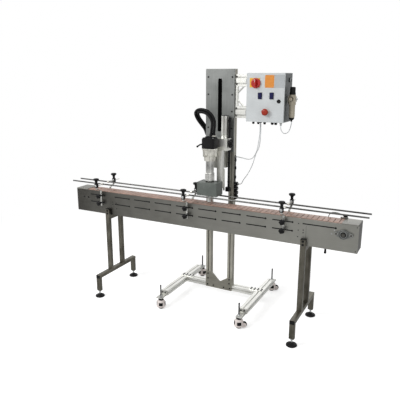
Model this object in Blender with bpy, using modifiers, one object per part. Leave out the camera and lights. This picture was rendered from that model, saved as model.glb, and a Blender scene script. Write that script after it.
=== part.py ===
"""Bottle capping machine: a slat-chain conveyor on two leg frames, with a capping head
on a wheeled profile stand behind it.

Metres, +Z up, floor at Z = 0. X runs along the conveyor, +Y points to the back, where
the column stands. Every piece hangs under one empty on the conveyor's centre line.
"""

import math

import bmesh
import bpy
from mathutils import Matrix, Vector

# Clearances
SEAT_GAP = 0.0003
RUNNING_GAP = 0.0005
SHAFT_GAP = 0.00025
SHAFT_FIT = 0.02

# Conveyor trough and chain
CONVEYOR_LENGTH = 2.438
CONVEYOR_WIDTH = 0.139
SIDE_TOP = 0.893
SIDE_HEIGHT = 0.195
SHEET = 0.003
TOP_FLANGE = 0.0087
BOTTOM_FLANGE = 0.020
CHAIN_TOP = 0.8965
CHAIN_THICKNESS = 0.0045
CHAIN_WIDTH = 0.1143
CHAIN_FACET = 12
AXLE_INSET = 0.097
AXLE_Z = 0.823
SHAFT_RADIUS = 0.0125
SPROCKET_WIDTH = 0.030
SPROCKET_TEETH = 12
TOOTH_DEPTH = 0.008
COVER_LENGTH = 0.117
COVER_SHEET = 0.0025
COVER_LIFT = 0.0045

# Adjusting slots in both side plates
SLOT_ROWS = (0.8585, 0.7945)
SLOT_LENGTH = 0.160
SLOT_WIDTH = 0.0085
KEYHOLE_RADIUS = 0.0080
SLOT_FIRST_INSET = 0.411
SLOT_PITCH = 0.2024
SLOT_OUTLYING_INSET = 0.151
LONG_SLOT_INSET = 0.386
LONG_SLOT_LENGTH = 0.240

# Chain bed
BED_STRIP_Y = 0.038
BED_STRIP_WIDTH = 0.016
BED_STRIP_HEIGHT = 0.012
BED_TIE = 0.008
BED_TIE_LENGTH = 0.025
BED_STATIONS = 7
BED_STATION_INSET = 0.222

# Leg frames and levelling feet
LEG_X = (-0.871, 0.851)
LEG_TUBE_X = 0.040
LEG_TUBE_Y = 0.030
LEG_LAP = 0.050
LEG_TIE_HEIGHT = 0.038
FOOT_SPREAD = 0.2513
FOOT_BAR_TOP = 0.200
FOOT_BAR_HEIGHT = 0.030
FOOT_TUBE_BOTTOM = 0.056
PAD_RADIUS = 0.040
PAD_HEIGHT = 0.017
FOOT_STUD_RADIUS = 0.006
FOOT_STUD_TOP = 0.110

# Guide rails and their brackets
RAIL_OVERHANG = 0.056
RAIL_RADIUS = 0.006
RAIL_Y = 0.050
RAIL_Z = 0.955
FRONT_BRACKET_X = (-0.948, -0.096, 0.696)
REAR_BRACKET_X = (-0.960, -0.122, 0.690)
BRACKET_WIDTH = 0.016
BRACKET_THICKNESS = 0.006
BRACKET_BOTTOM = 0.766
BRACKET_BEND = 0.903
CLAMP_OUT = 0.060
CLAMP_SIDE = 0.026
CLAMP_HEIGHT = 0.034
ROD_PAST_FRONT_CLAMP = 0.018
ROD_PAST_REAR_CLAMP = 0.075
T_KNOB_RADIUS = 0.024
T_KNOB_HEIGHT = 0.045
STAR_KNOB_RADIUS = 0.019

# Wheeled stand of extruded aluminium
STAND_X = 0.068
STAND_Y = 0.183
BEAM_HALF_SPAN = 0.355
BEAM_HALF_LENGTH = 0.305
BEAM_WIDTH = 0.060
BEAM_HEIGHT = 0.045
BEAM_TOP = 0.130
CASTER_HALF_LENGTH = 0.375
CASTER_INSET = 0.006
CASTER_ARM = 0.012
POST_SIDE = 0.045
GROOVE_WIDTH = 0.010
GROOVE_DEPTH = 0.0125
GROOVE_TAPER = 0.0012
JOINT_PLATE = 0.005
JOINT_PLATE_LENGTH = 0.125

# Column
COLUMN_X = 0.058
COLUMN_WIDTH = 0.245
COLUMN_FRONT = 0.1923
COLUMN_TOP = 1.918
COLUMN_PLATE_BOTTOM = 1.282
COLUMN_PLATE = 0.0125
COLUMN_SLOT_WIDTH = 0.034
COLUMN_SLOT_BOTTOM = 1.335
COLUMN_SLOT_TOP = 1.849
GUSSET_PLATE = 0.006
GUSSET_TOPS = (0.225, 0.201)
GUSSET_DIP = 0.155
GUSSET_STEPS = (0.020, 0.009)
GUSSET_DIP_SHIFT = 0.014

# Height carriage and head
HEAD_X = 0.068
CARRIAGE_PLATE = 0.012
CARRIAGE_PLATE_Z = (1.300, 1.440)
NUT_PLATE_Z = (1.342, 1.412)
NUT_PLATE_WIDTH = 0.120
CARRIAGE_PROFILE_X = 0.122
CARRIAGE_PROFILE_Z = (1.163, 1.566)
BRACKET_BLOCK_Z = (1.308, 1.399)
BRACKET_BLOCK_RIGHT = 0.183
GUARD_POST_SIDE = 0.044
GUARD_POST_BOTTOM = 1.010
MOTOR_SIZE = (0.102, 0.094, 0.088)
MOTOR_BOTTOM = 1.332
HOUSING_TOP_RADIUS = 0.061
HOUSING_LOW_RADIUS = 0.044
HOUSING_BOTTOM = 1.235
QUILL_RADIUS = 0.0305
QUILL_STROKE = 0.050
COLLAR_RADIUS = 0.036
COLLAR_Z = (1.082, 1.140)
CHUCK_RADIUS = 0.0265
CHUCK_Z = (0.912, 0.990)
SPINDLE_BORE = 0.011
GUARD_SIZE = (0.169, 0.110, 0.104)
GUARD_BOTTOM = 0.966
GUARD_WALL = 0.003
HANDWHEEL_RADIUS = 0.035
HANDWHEEL_Y = 0.098
HANDWHEEL_Z = 1.362
HOSE_RADIUS = 0.0175
HOSE_BOSS_HALF = 0.030
CONDUIT_RADIUS = 0.0135

# Cabinet, its frame and the air unit
CABINET_X = (0.346, 0.628)
CABINET_DEPTH = 0.175
CABINET_Z = (1.543, 1.886)
CABINET_WALL = 0.002
DOOR_DEPTH = 0.013
DOOR_PIN_INSET = 0.006
DOOR_PIN_OUT = 0.003
DOOR_KNUCKLE_RADIUS = 0.004
ARM_HEIGHT = 0.090
ARM_TOPS = (1.877, 1.640)
ARM_REACH = 0.600
SWITCH_CENTRE = (0.417, 1.8155)
SWITCH_RADIUS = 0.035
STOP_CENTRE = (0.497, 1.616)
STOP_RADIUS = 0.0245
STOP_TRAVEL = 0.006
LOCK_CENTRE = (0.590, 1.692)
LOCK_RADIUS = 0.010
AIR_UNIT_SIDE = 0.052
AIR_UNIT_STANDOFF = 0.008
AIR_UNIT_Y = 0.115
AIR_UNIT_Z = (1.560, 1.737)
AIR_TUBE_RADIUS = 0.004
GLAND_Y = 0.055
GLANDS = ((0.395, 0.008), (0.433, 0.008), (0.482, 0.009), (0.540, 0.010), (0.566, 0.010))
GLAND_HEIGHT = 0.014
TUBE_GLAND = (0.604, 0.008, 0.022)
COLUMN_TUBES = (0.430, 0.110)
COLUMN_TUBE_DROPS = (0.3025, 0.522)
FITTING_REACH = 0.012
VALVE_DEPTH = 0.026
VALVE_PITCH = 0.036

# Casters
CASTER_TRAIL = 0.039
WHEEL_RADIUS = 0.024
WHEEL_WIDTH = 0.020
CASTER_WIDTH = 0.062
CASTER_TOP = 0.074
CASTER_PAD_RADIUS = 0.020
CASTER_PAD_HEIGHT = 0.008
CASTER_STUD_RADIUS = 0.006
CASTER_STUD_TOP = 0.205
CASTER_TURNS = {"front_left": 118, "front_right": 28, "rear_left": 150, "rear_right": 25}

# Worked out from the above
HALF_LENGTH = CONVEYOR_LENGTH / 2
SHAFT_BORE = SHAFT_RADIUS * (1 + SHAFT_FIT)
HALF_WIDTH = CONVEYOR_WIDTH / 2
AXLE_X = HALF_LENGTH - AXLE_INSET
RAIL_HALF_LENGTH = HALF_LENGTH + RAIL_OVERHANG
SLOT_FIRST = SLOT_FIRST_INSET - HALF_LENGTH
SLOT_OUTLYING = SLOT_OUTLYING_INSET - HALF_LENGTH
LONG_SLOT_START = HALF_LENGTH - LONG_SLOT_INSET
SLOT_COUNT = int((LONG_SLOT_START - SLOT_FIRST) / SLOT_PITCH)
BED_STATION_PITCH = 2 * (AXLE_X - BED_STATION_INSET) / (BED_STATIONS - 1)
SIDE_BOTTOM = SIDE_TOP - SIDE_HEIGHT
CHAIN_RADIUS = CHAIN_TOP - AXLE_Z
CHAIN_INNER = CHAIN_RADIUS - CHAIN_THICKNESS
POST_FRONT = COLUMN_FRONT + COLUMN_PLATE + SEAT_GAP
POST_BACK = POST_FRONT + POST_SIDE
COLUMN_LEFT = COLUMN_X - COLUMN_WIDTH / 2
COLUMN_RIGHT = COLUMN_X + COLUMN_WIDTH / 2
BEAM_BOTTOM = BEAM_TOP - BEAM_HEIGHT
CASTER_REACH = CASTER_TRAIL + WHEEL_RADIUS + 0.004
CABINET_BACK = POST_FRONT - SEAT_GAP
CABINET_FRONT = CABINET_BACK - CABINET_DEPTH
AIR_UNIT_X = CABINET_X[1] + SEAT_GAP + AIR_UNIT_STANDOFF + AIR_UNIT_SIDE / 2
VALVE_FACE = COLUMN_RIGHT + SEAT_GAP

for old in list(bpy.data.objects):
    bpy.data.objects.remove(old, do_unlink=True)

parts = bpy.data.collections.new("capping_machine")
cutters = bpy.data.collections.new("cutters")
for collection in (parts, cutters):
    bpy.context.scene.collection.children.link(collection)

line = bpy.data.objects.new("conveyor_line", None)
parts.objects.link(line)


def material(name, colour, roughness, metallic):
    made = bpy.data.materials.new(name)
    made.use_nodes = True
    shader = made.node_tree.nodes["Principled BSDF"]
    shader.inputs["Base Color"].default_value = (*colour, 1)
    shader.inputs["Roughness"].default_value = roughness
    shader.inputs["Metallic"].default_value = metallic
    return made


STAINLESS = ((0.30, 0.29, 0.27), 0.42, 1.0)
LEG_STEEL = ((0.20, 0.19, 0.17), 0.45, 1.0)
ALUMINIUM = ((0.62, 0.62, 0.60), 0.38, 1.0)
PLATE_GREY = ((0.42, 0.43, 0.42), 0.45, 1.0)
BRIGHT = ((0.70, 0.70, 0.68), 0.25, 1.0)
BLACK = ((0.012, 0.012, 0.013), 0.50, 0.0)
CHAIN_BROWN = ((0.36, 0.26, 0.21), 0.55, 0.0)
CABINET_GREY = ((0.60, 0.62, 0.63), 0.50, 0.0)
GUARD_GREY = ((0.14, 0.16, 0.15), 0.55, 0.0)
RED = ((0.42, 0.02, 0.02), 0.40, 0.0)
BEIGE = ((0.40, 0.35, 0.28), 0.55, 0.0)
PALE_HOUSING = ((0.60, 0.55, 0.54), 0.50, 0.0)
CLEAR_TUBE = ((0.70, 0.72, 0.73), 0.30, 0.0)


def place(data, name, finish, pivot=(0, 0, 0), tool=False):
    """Link one object, with its origin at the pivot and its mesh moved back to suit."""
    if isinstance(data, bpy.types.Mesh):
        data.transform(Matrix.Translation(-Vector(pivot)))
    made = bpy.data.objects.new(name, data)
    made.location = pivot
    made.parent = line
    (cutters if tool else parts).objects.link(made)
    if tool:
        made.hide_render = True
        made.display_type = "WIRE"
    else:
        data.materials.append(material(name, *finish))
    return made


def mesh_of(bm, name):
    mesh = bpy.data.meshes.new(name)
    bm.to_mesh(mesh)
    bm.free()
    return mesh


def block(name, x, y, z, finish=None, pivot=(0, 0, 0), rounding=0):
    """A box between the pairs of limits x, y and z; without a finish it is a tool."""
    bm = bmesh.new()
    bmesh.ops.create_cube(bm, size=1)
    size = Vector((x[1] - x[0], y[1] - y[0], z[1] - z[0]))
    middle = Vector((x[0] + x[1], y[0] + y[1], z[0] + z[1])) / 2
    bmesh.ops.transform(bm, matrix=Matrix.Translation(middle) @ Matrix.Diagonal((*size, 1)), verts=bm.verts)
    made = place(mesh_of(bm, name), name, finish, pivot, finish is None)
    if rounding:
        soften(made, rounding)
    return made


QUARTER = math.pi / 2
TURN = {"z": Matrix(), "x": Matrix.Rotation(QUARTER, 4, "Y"), "y": Matrix.Rotation(-QUARTER, 4, "X"),
        "x_back": Matrix.Rotation(-QUARTER, 4, "Y"), "y_out": Matrix.Rotation(QUARTER, 4, "X")}


def cylinder(name, centre, radius, ends, axis="z", finish=None, pivot=(0, 0, 0), sides=18):
    """A cylinder whose axis passes the centre and which runs between ends on that axis."""
    bm = bmesh.new()
    bmesh.ops.create_cone(bm, cap_ends=True, segments=sides, radius1=radius, radius2=radius,
                          depth=ends[1] - ends[0])
    along = "xyz".index(axis)
    middle = Vector(centre)
    middle[along] = (ends[0] + ends[1]) / 2
    bmesh.ops.transform(bm, matrix=Matrix.Translation(middle) @ TURN[axis], verts=bm.verts)
    made = place(mesh_of(bm, name), name, finish, pivot, finish is None)
    made.data.shade_smooth()
    made.data.set_sharp_from_angle(angle=math.radians(40))
    return made


def turned(name, profile, centre, axis="z", finish=None, sides=18):
    """A turned solid: profile gives (radius, place along the axis) from top to bottom."""
    bm = bmesh.new()
    rim = [bm.verts.new((radius, 0, along)) for radius, along in profile]
    for upper, lower in zip(rim, rim[1:]):
        bm.edges.new((upper, lower))
    made = place(mesh_of(bm, name), name, finish, (0, 0, 0), finish is None)
    screw = made.modifiers.new("turn", "SCREW")
    screw.steps = screw.render_steps = sides
    screw.use_merge_vertices = True
    screw.merge_threshold = 0.00005
    made.location = centre
    made.rotation_euler = TURN[axis].to_euler()
    return made


def outline(name, loops, thickness, plane, middle, finish=None, pivot=(0, 0, 0)):
    """A flat sheet: the first loop is its edge and the others are holes. The plane is
    XY, XZ or YZ, and middle is the place of the sheet's middle on the third axis."""
    curve = bpy.data.curves.new(name, "CURVE")
    curve.dimensions = "2D"
    curve.fill_mode = "BOTH"
    curve.extrude = thickness / 2
    for loop in loops:
        spline = curve.splines.new("POLY")
        spline.points.add(len(loop) - 1)
        spline.use_cyclic_u = True
        for point, (a, b) in zip(spline.points, loop):
            point.co = (a, b, 0, 1)
    stand = {
        "XY": Matrix.Translation((0, 0, middle)),
        "XZ": Matrix.Translation((0, middle, 0)) @ Matrix.Rotation(math.pi / 2, 4, "X"),
        "YZ": Matrix(((0, 0, 1, middle), (1, 0, 0, 0), (0, 1, 0, 0), (0, 0, 0, 1))),
    }[plane]
    return as_mesh(curve, stand, name, finish, pivot)


def as_mesh(curve, stand, name, finish, pivot=(0, 0, 0)):
    """Make a curve a mesh with welded caps, moved to where it belongs."""
    rough = bpy.data.objects.new(name + "_curve", curve)
    cutters.objects.link(rough)
    bpy.context.view_layer.update()
    mesh = bpy.data.meshes.new_from_object(rough.evaluated_get(bpy.context.evaluated_depsgraph_get()))
    bpy.data.objects.remove(rough, do_unlink=True)
    bpy.data.curves.remove(curve)
    bm = bmesh.new()
    bm.from_mesh(mesh)
    bpy.data.meshes.remove(mesh)
    bmesh.ops.remove_doubles(bm, verts=bm.verts, dist=0.00001)
    bmesh.ops.dissolve_degenerate(bm, dist=0.000002, edges=bm.edges)
    bmesh.ops.dissolve_limit(bm, angle_limit=0.001, verts=bm.verts, edges=bm.edges)
    bmesh.ops.transform(bm, matrix=stand, verts=bm.verts)
    bmesh.ops.recalc_face_normals(bm, faces=bm.faces)
    return place(mesh_of(bm, name), name, finish, pivot, finish is None)


def smooth_route(points, steps):
    """Points on a Catmull-Rom curve through the given ones, with steps in each span."""
    places = [Vector(point) for point in points]
    places = [2 * places[0] - places[1], *places, 2 * places[-1] - places[-2]]
    route = []
    for a, b, c, d in zip(places, places[1:], places[2:], places[3:]):
        for step in range(steps):
            t = step / steps
            route.append(0.5 * (2 * b + (c - a) * t + (2 * a - 5 * b + 4 * c - d) * t * t
                                + (3 * b - a - 3 * c + d) * t * t * t))
    return [*route, places[-2]]


def tube(name, points, radius, finish=None, steps=5, resolution=2):
    curve = bpy.data.curves.new(name, "CURVE")
    curve.dimensions = "3D"
    curve.bevel_depth = radius
    curve.bevel_resolution = resolution
    curve.use_fill_caps = True
    route = smooth_route(points, steps)
    spline = curve.splines.new("POLY")
    spline.points.add(len(route) - 1)
    for point, place_on_route in zip(spline.points, route):
        point.co = (*place_on_route, 1)
    return as_mesh(curve, Matrix(), name, finish)


def combine(target, operation, tools):
    for tool in tools:
        modifier = target.modifiers.new(tool.name, "BOOLEAN")
        modifier.operation = operation
        modifier.solver = "EXACT"
        modifier.object = tool
    return target


def unite(target, *tools):
    return combine(target, "UNION", tools)


def cut(target, *tools):
    return combine(target, "DIFFERENCE", tools)


def soften(target, width, segments=2):
    bevel = target.modifiers.new("edges", "BEVEL")
    bevel.width = width
    bevel.segments = segments
    bevel.limit_method = "ANGLE"
    bevel.angle_limit = math.radians(50)
    return target


def copies(source, names, offsets, finish):
    """Own objects for a repeated piece: its finished mesh is shared and then it goes."""
    bpy.context.view_layer.update()
    seen = source.evaluated_get(bpy.context.evaluated_depsgraph_get())
    mesh = bpy.data.meshes.new_from_object(seen)
    mesh.materials.clear()
    base = source.location.copy()
    for name, offset in zip(names, offsets):
        made = place(mesh.copy(), name, finish)
        made.location = base + Vector(offset)
    bpy.data.objects.remove(source, do_unlink=True)


def centre_on_floor():
    """Shift the whole machine so that the origin is under the middle of its bounds."""
    bpy.context.view_layer.update()
    seen = bpy.context.evaluated_depsgraph_get()
    across = []
    for made in parts.objects:
        if made.type == "MESH":
            shape = made.evaluated_get(seen)
            across += [(shape.matrix_world @ vertex.co).y for vertex in shape.data.vertices]
    line.location.y = -(min(across) + max(across)) / 2


def rectangle(x, y):
    return [(x[0], y[0]), (x[1], y[0]), (x[1], y[1]), (x[0], y[1])]


def circle(centre, radius, sides=20):
    turns = [2 * math.pi * k / sides for k in range(sides)]
    return [(centre[0] + radius * math.cos(a), centre[1] + radius * math.sin(a)) for a in turns]


def keyhole_slot(start, length, height):
    """A slot with a round start and a larger round keyhole at its far end."""
    half = SLOT_WIDTH / 2
    entry = math.asin(half / KEYHOLE_RADIUS)
    near = [math.radians(90 + 60 * k) for k in range(4)]
    far = [-math.pi + entry + (2 * math.pi - 2 * entry) * k / 6 for k in range(7)]
    left = [(start + half + half * math.cos(a), height + half * math.sin(a)) for a in near]
    middle = start + length - KEYHOLE_RADIUS
    return left + [(middle + KEYHOLE_RADIUS * math.cos(a), height + KEYHOLE_RADIUS * math.sin(a))
                   for a in far]


def profile_section(middle, size, grooves=(1, 1)):
    """An extruded bar's section with open grooves: grooves counts them on each face
    along the first and the second axis."""
    half = (size[0] / 2, size[1] / 2)
    lip = GROOVE_WIDTH / 2
    floor = lip - GROOVE_TAPER
    corners = ((-1, -1), (1, -1), (1, 1), (-1, 1))
    loop = []
    for side, (a, b) in enumerate(corners):
        along = side % 2
        count = grooves[along]
        step = size[along] / count
        direction = 1 if side < 2 else -1
        loop.append((a * half[0], b * half[1]))
        for k in range(count):
            at = direction * (-half[along] + step * (k + 0.5))
            for offset, depth in ((-lip, 0), (-floor, GROOVE_DEPTH), (floor, GROOVE_DEPTH), (lip, 0)):
                place_along = at + direction * offset
                across = (b if along == 0 else a) * (half[1 - along] - depth)
                loop.append((place_along, across) if along == 0 else (across, place_along))
    return [(middle[0] + a, middle[1] + b) for a, b in loop]


def side_plate(name, side):
    """One long side sheet, folded in at its top and bottom edge; side is -1 or 1."""
    outer = HALF_WIDTH
    length = (-HALF_LENGTH, HALF_LENGTH)
    slots = [SLOT_FIRST + SLOT_PITCH * k for k in range(SLOT_COUNT)]
    holes = [keyhole_slot(start, SLOT_LENGTH, row) for row in SLOT_ROWS
             for start in (SLOT_OUTLYING, *slots)]
    holes.append(keyhole_slot(LONG_SLOT_START, LONG_SLOT_LENGTH, SLOT_ROWS[0]))
    holes.append(circle((AXLE_X, AXLE_Z), SHAFT_RADIUS + 0.003))
    holes.append(circle((-AXLE_X, AXLE_Z), SHAFT_BORE))
    sheet = outline(name, [rectangle(length, (SIDE_BOTTOM, SIDE_TOP)), *holes], SHEET, "XZ",
                    side * (outer - SHEET / 2), STAINLESS)
    folds = []
    for label, width, low in (("top", TOP_FLANGE, SIDE_TOP - SHEET),
                              ("bottom", BOTTOM_FLANGE, SIDE_BOTTOM)):
        across = sorted((side * (outer - SHEET / 2), side * (outer - SHEET - width)))
        folds.append(block(f"{name}_{label}_fold", length, across, (low, low + SHEET)))
    return unite(sheet, *folds)


def chain_loop():
    """The slat chain as one closed band round both sprockets."""
    bend = [math.radians(-90 + CHAIN_FACET * k) for k in range(1 + 180 // CHAIN_FACET)]

    def band(radius):
        right = [(AXLE_X + radius * math.cos(a), AXLE_Z + radius * math.sin(a)) for a in bend]
        return right + [(-x, 2 * AXLE_Z - z) for x, z in right]

    return outline("slat_chain", [band(CHAIN_RADIUS), band(CHAIN_INNER)], CHAIN_WIDTH, "XZ", 0, CHAIN_BROWN)


def chain_bed():
    """Wear strips over and under the chain's two runs, held by ring-shaped ties."""
    top = CHAIN_TOP - CHAIN_THICKNESS - SEAT_GAP
    low = AXLE_Z - CHAIN_RADIUS - SEAT_GAP
    reach = AXLE_X - 0.010
    strips = []
    for side in (-1, 1):
        for label, upper in (("carry", top), ("return", low)):
            across = sorted((side * (BED_STRIP_Y - BED_STRIP_WIDTH / 2),
                             side * (BED_STRIP_Y + BED_STRIP_WIDTH / 2)))
            finish = BRIGHT if not strips else None
            name = "chain_bed" if not strips else f"bed_{label}_strip_{side}"
            strips.append(block(name, (-reach, reach), across, (upper - BED_STRIP_HEIGHT, upper), finish))
    outer = HALF_WIDTH - SHEET - SEAT_GAP
    inner = CHAIN_WIDTH / 2 + 0.0015
    under_top = top - BED_STRIP_HEIGHT + SEAT_GAP
    under_low = low - BED_STRIP_HEIGHT + SEAT_GAP
    ring = [rectangle((-outer, outer), (under_low - BED_TIE, under_top)),
            rectangle((-inner, inner), (under_low, under_top - BED_TIE))]
    rings = []
    for k in range(BED_STATIONS):
        x = (k - (BED_STATIONS - 1) / 2) * BED_STATION_PITCH
        rings.append(outline(f"bed_tie_{k}", ring, BED_TIE_LENGTH, "YZ", x))
    return unite(strips[0], *strips[1:], *rings)


def sprocket_shaft(name, x, ends):
    """A shaft with its toothed wheel, one solid that turns inside the chain."""
    tip = CHAIN_INNER * math.cos(math.radians(CHAIN_FACET / 2)) - RUNNING_GAP
    steps = SPROCKET_TEETH * 4
    loop = []
    for k in range(steps):
        radius = tip if k % 4 < 2 else tip - TOOTH_DEPTH
        a = 2 * math.pi * (k - 0.5) / steps
        loop.append((x + radius * math.cos(a), AXLE_Z + radius * math.sin(a)))
    wheel = outline(name, [loop], SPROCKET_WIDTH, "XZ", 0, BRIGHT, (x, 0, AXLE_Z))
    return unite(wheel, cylinder(f"{name}_bar", (x, 0, AXLE_Z), SHAFT_RADIUS, ends, "y"))


def end_cover(name, side):
    """The plate over the chain's turn, with its end wall; side is -1 or 1 along X."""
    far = side * (HALF_LENGTH - SEAT_GAP)
    near = side * (HALF_LENGTH - COVER_LENGTH)
    top = SIDE_TOP + COVER_LIFT
    lid = block(name, sorted((near, far)), (-HALF_WIDTH, HALF_WIDTH), (top, top + COVER_SHEET), STAINLESS)
    lips = []
    for across in (-1, 1):
        span = sorted((across * (CHAIN_WIDTH / 2 + 0.0015), across * HALF_WIDTH))
        lips.append(block(f"{name}_lip_{across}", sorted((near, far)), span,
                          (SIDE_TOP + SEAT_GAP, top + 0.001)))
    inside = HALF_WIDTH - SHEET - SEAT_GAP
    clear_of_fold = HALF_WIDTH - SHEET - BOTTOM_FLANGE - SEAT_GAP
    wall_x = sorted((far, far - side * SHEET))
    wall = block(f"{name}_wall", wall_x, (-inside, inside),
                 (SIDE_BOTTOM + SHEET + SEAT_GAP, SIDE_TOP - SHEET - SEAT_GAP))
    neck = CHAIN_WIDTH / 2 - SEAT_GAP
    throat = block(f"{name}_throat", wall_x, (-neck, neck), (SIDE_TOP - 0.010, top + 0.001))
    foot = block(f"{name}_foot", wall_x, (-clear_of_fold, clear_of_fold),
                 (SIDE_BOTTOM, SIDE_BOTTOM + 0.010))
    return unite(lid, *lips, throat, wall, foot)


def drive_bearing():
    """A two-bolt flange bearing on the front side plate."""
    face = -HALF_WIDTH - SEAT_GAP
    ear = 0.050
    waist = 0.028
    arc = [math.radians(-45 + 15 * k) for k in range(7)]
    right = [(AXLE_X + ear + 0.013 * math.cos(a), AXLE_Z + 0.013 * math.sin(a)) for a in arc]
    crown = [(AXLE_X + waist * math.cos(a), AXLE_Z + waist * math.sin(a))
             for a in [math.radians(60 + 12 * k) for k in range(6)]]
    loop = right + crown
    loop += [(2 * AXLE_X - x, 2 * AXLE_Z - z) for x, z in loop]
    flange = outline("drive_bearing", [loop], 0.010, "XZ", face - 0.005, ALUMINIUM)
    boss = cylinder("drive_bearing_boss", (AXLE_X, 0, AXLE_Z), 0.024, (face - 0.020, face - 0.002), "y",
                    sides=24)
    bolts = [turned(f"drive_bearing_bolt_{side}",
                    ((0, 0.007), (0.0075, 0.007), (0.0075, 0), (0.004, -0.004), (0, -0.004)),
                    (AXLE_X + side * ear, face - 0.010, AXLE_Z), "y_out", sides=12) for side in (-1, 1)]
    bore = cylinder("drive_bearing_bore", (AXLE_X, 0, AXLE_Z), SHAFT_BORE,
                    (face - 0.030, face + 0.010), "y")
    return cut(unite(flange, boss, *bolts), bore)


def gearmotor():
    """Worm gearbox on the rear side plate, with its motor lying along the conveyor."""
    face = HALF_WIDTH + SEAT_GAP
    half = 0.045
    middle_y = face + 0.042
    box = block("gearmotor", (AXLE_X - half, AXLE_X + half), (face, face + 0.080),
                (AXLE_Z - half, AXLE_Z + half), ALUMINIUM, rounding=0.006)
    motor = turned("gearmotor_body",
                   ((0, 0.150), (0.028, 0.150), (0.034, 0.144), (0.034, 0.012), (0.040, 0.010),
                                      (0.040, -0.004), (0, -0.004)), (AXLE_X - half, middle_y,
                                                                      AXLE_Z - 0.008), "x_back")
    bore = cylinder("gearmotor_bore", (AXLE_X, 0, AXLE_Z), SHAFT_BORE,
                    (face - 0.010, face + 0.054), "y", sides=16)
    return cut(unite(box, motor), bore)


def leg_frame(name, x):
    """Two posts that clasp the trough, a tie under it, and a foot bar with two short legs."""
    inner = HALF_WIDTH + SEAT_GAP
    outer = inner + LEG_TUBE_Y
    half = LEG_TUBE_Y / 2
    near = FOOT_SPREAD - half
    far = FOOT_SPREAD + half
    under = FOOT_BAR_TOP - FOOT_BAR_HEIGHT
    top = SIDE_BOTTOM + LEG_LAP
    tie_top = SIDE_BOTTOM - SEAT_GAP
    right = [(near, under), (near, FOOT_TUBE_BOTTOM), (far, FOOT_TUBE_BOTTOM), (far, FOOT_BAR_TOP),
             (outer, FOOT_BAR_TOP), (outer, top), (inner, top), (inner, tie_top)]
    loop = right + [(-y, z) for y, z in reversed(right)]
    hole = rectangle((-inner, inner), (FOOT_BAR_TOP, tie_top - LEG_TIE_HEIGHT))
    frame = outline(name, [loop, hole], LEG_TUBE_X, "YZ", x, LEG_STEEL)
    sockets = [cylinder(f"{name}_socket_{side}", (x, side * FOOT_SPREAD, 0), FOOT_STUD_RADIUS + SHAFT_GAP,
                        (FOOT_TUBE_BOTTOM - 0.010, FOOT_STUD_TOP + 0.002), sides=16) for side in (-1, 1)]
    return cut(frame, *sockets)


def levelling_feet():
    neck = PAD_HEIGHT + 0.006
    profile = ((0, FOOT_STUD_TOP), (FOOT_STUD_RADIUS, FOOT_STUD_TOP),
               (FOOT_STUD_RADIUS, FOOT_TUBE_BOTTOM - SEAT_GAP),
               (0.0105, FOOT_TUBE_BOTTOM - SEAT_GAP), (0.0105, FOOT_TUBE_BOTTOM - 0.008),
               (FOOT_STUD_RADIUS, FOOT_TUBE_BOTTOM - 0.008), (FOOT_STUD_RADIUS, neck + 0.008),
               (0.013, neck),
               (0.022, PAD_HEIGHT), (PAD_RADIUS - 0.006, PAD_HEIGHT - 0.003),
               (PAD_RADIUS, PAD_HEIGHT - 0.009),
               (PAD_RADIUS, 0.002), (PAD_RADIUS - 0.002, 0), (0, 0))
    source = turned("foot_source", profile, (0, 0, 0), finish=BLACK, sides=18)
    spots = [(f"levelling_foot_{end}_{row}", (x, side * FOOT_SPREAD, 0))
             for end, x in zip(("left", "right"), LEG_X) for row, side in (("front", -1), ("rear", 1))]
    copies(source, [name for name, _ in spots], [spot for _, spot in spots], BLACK)


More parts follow.
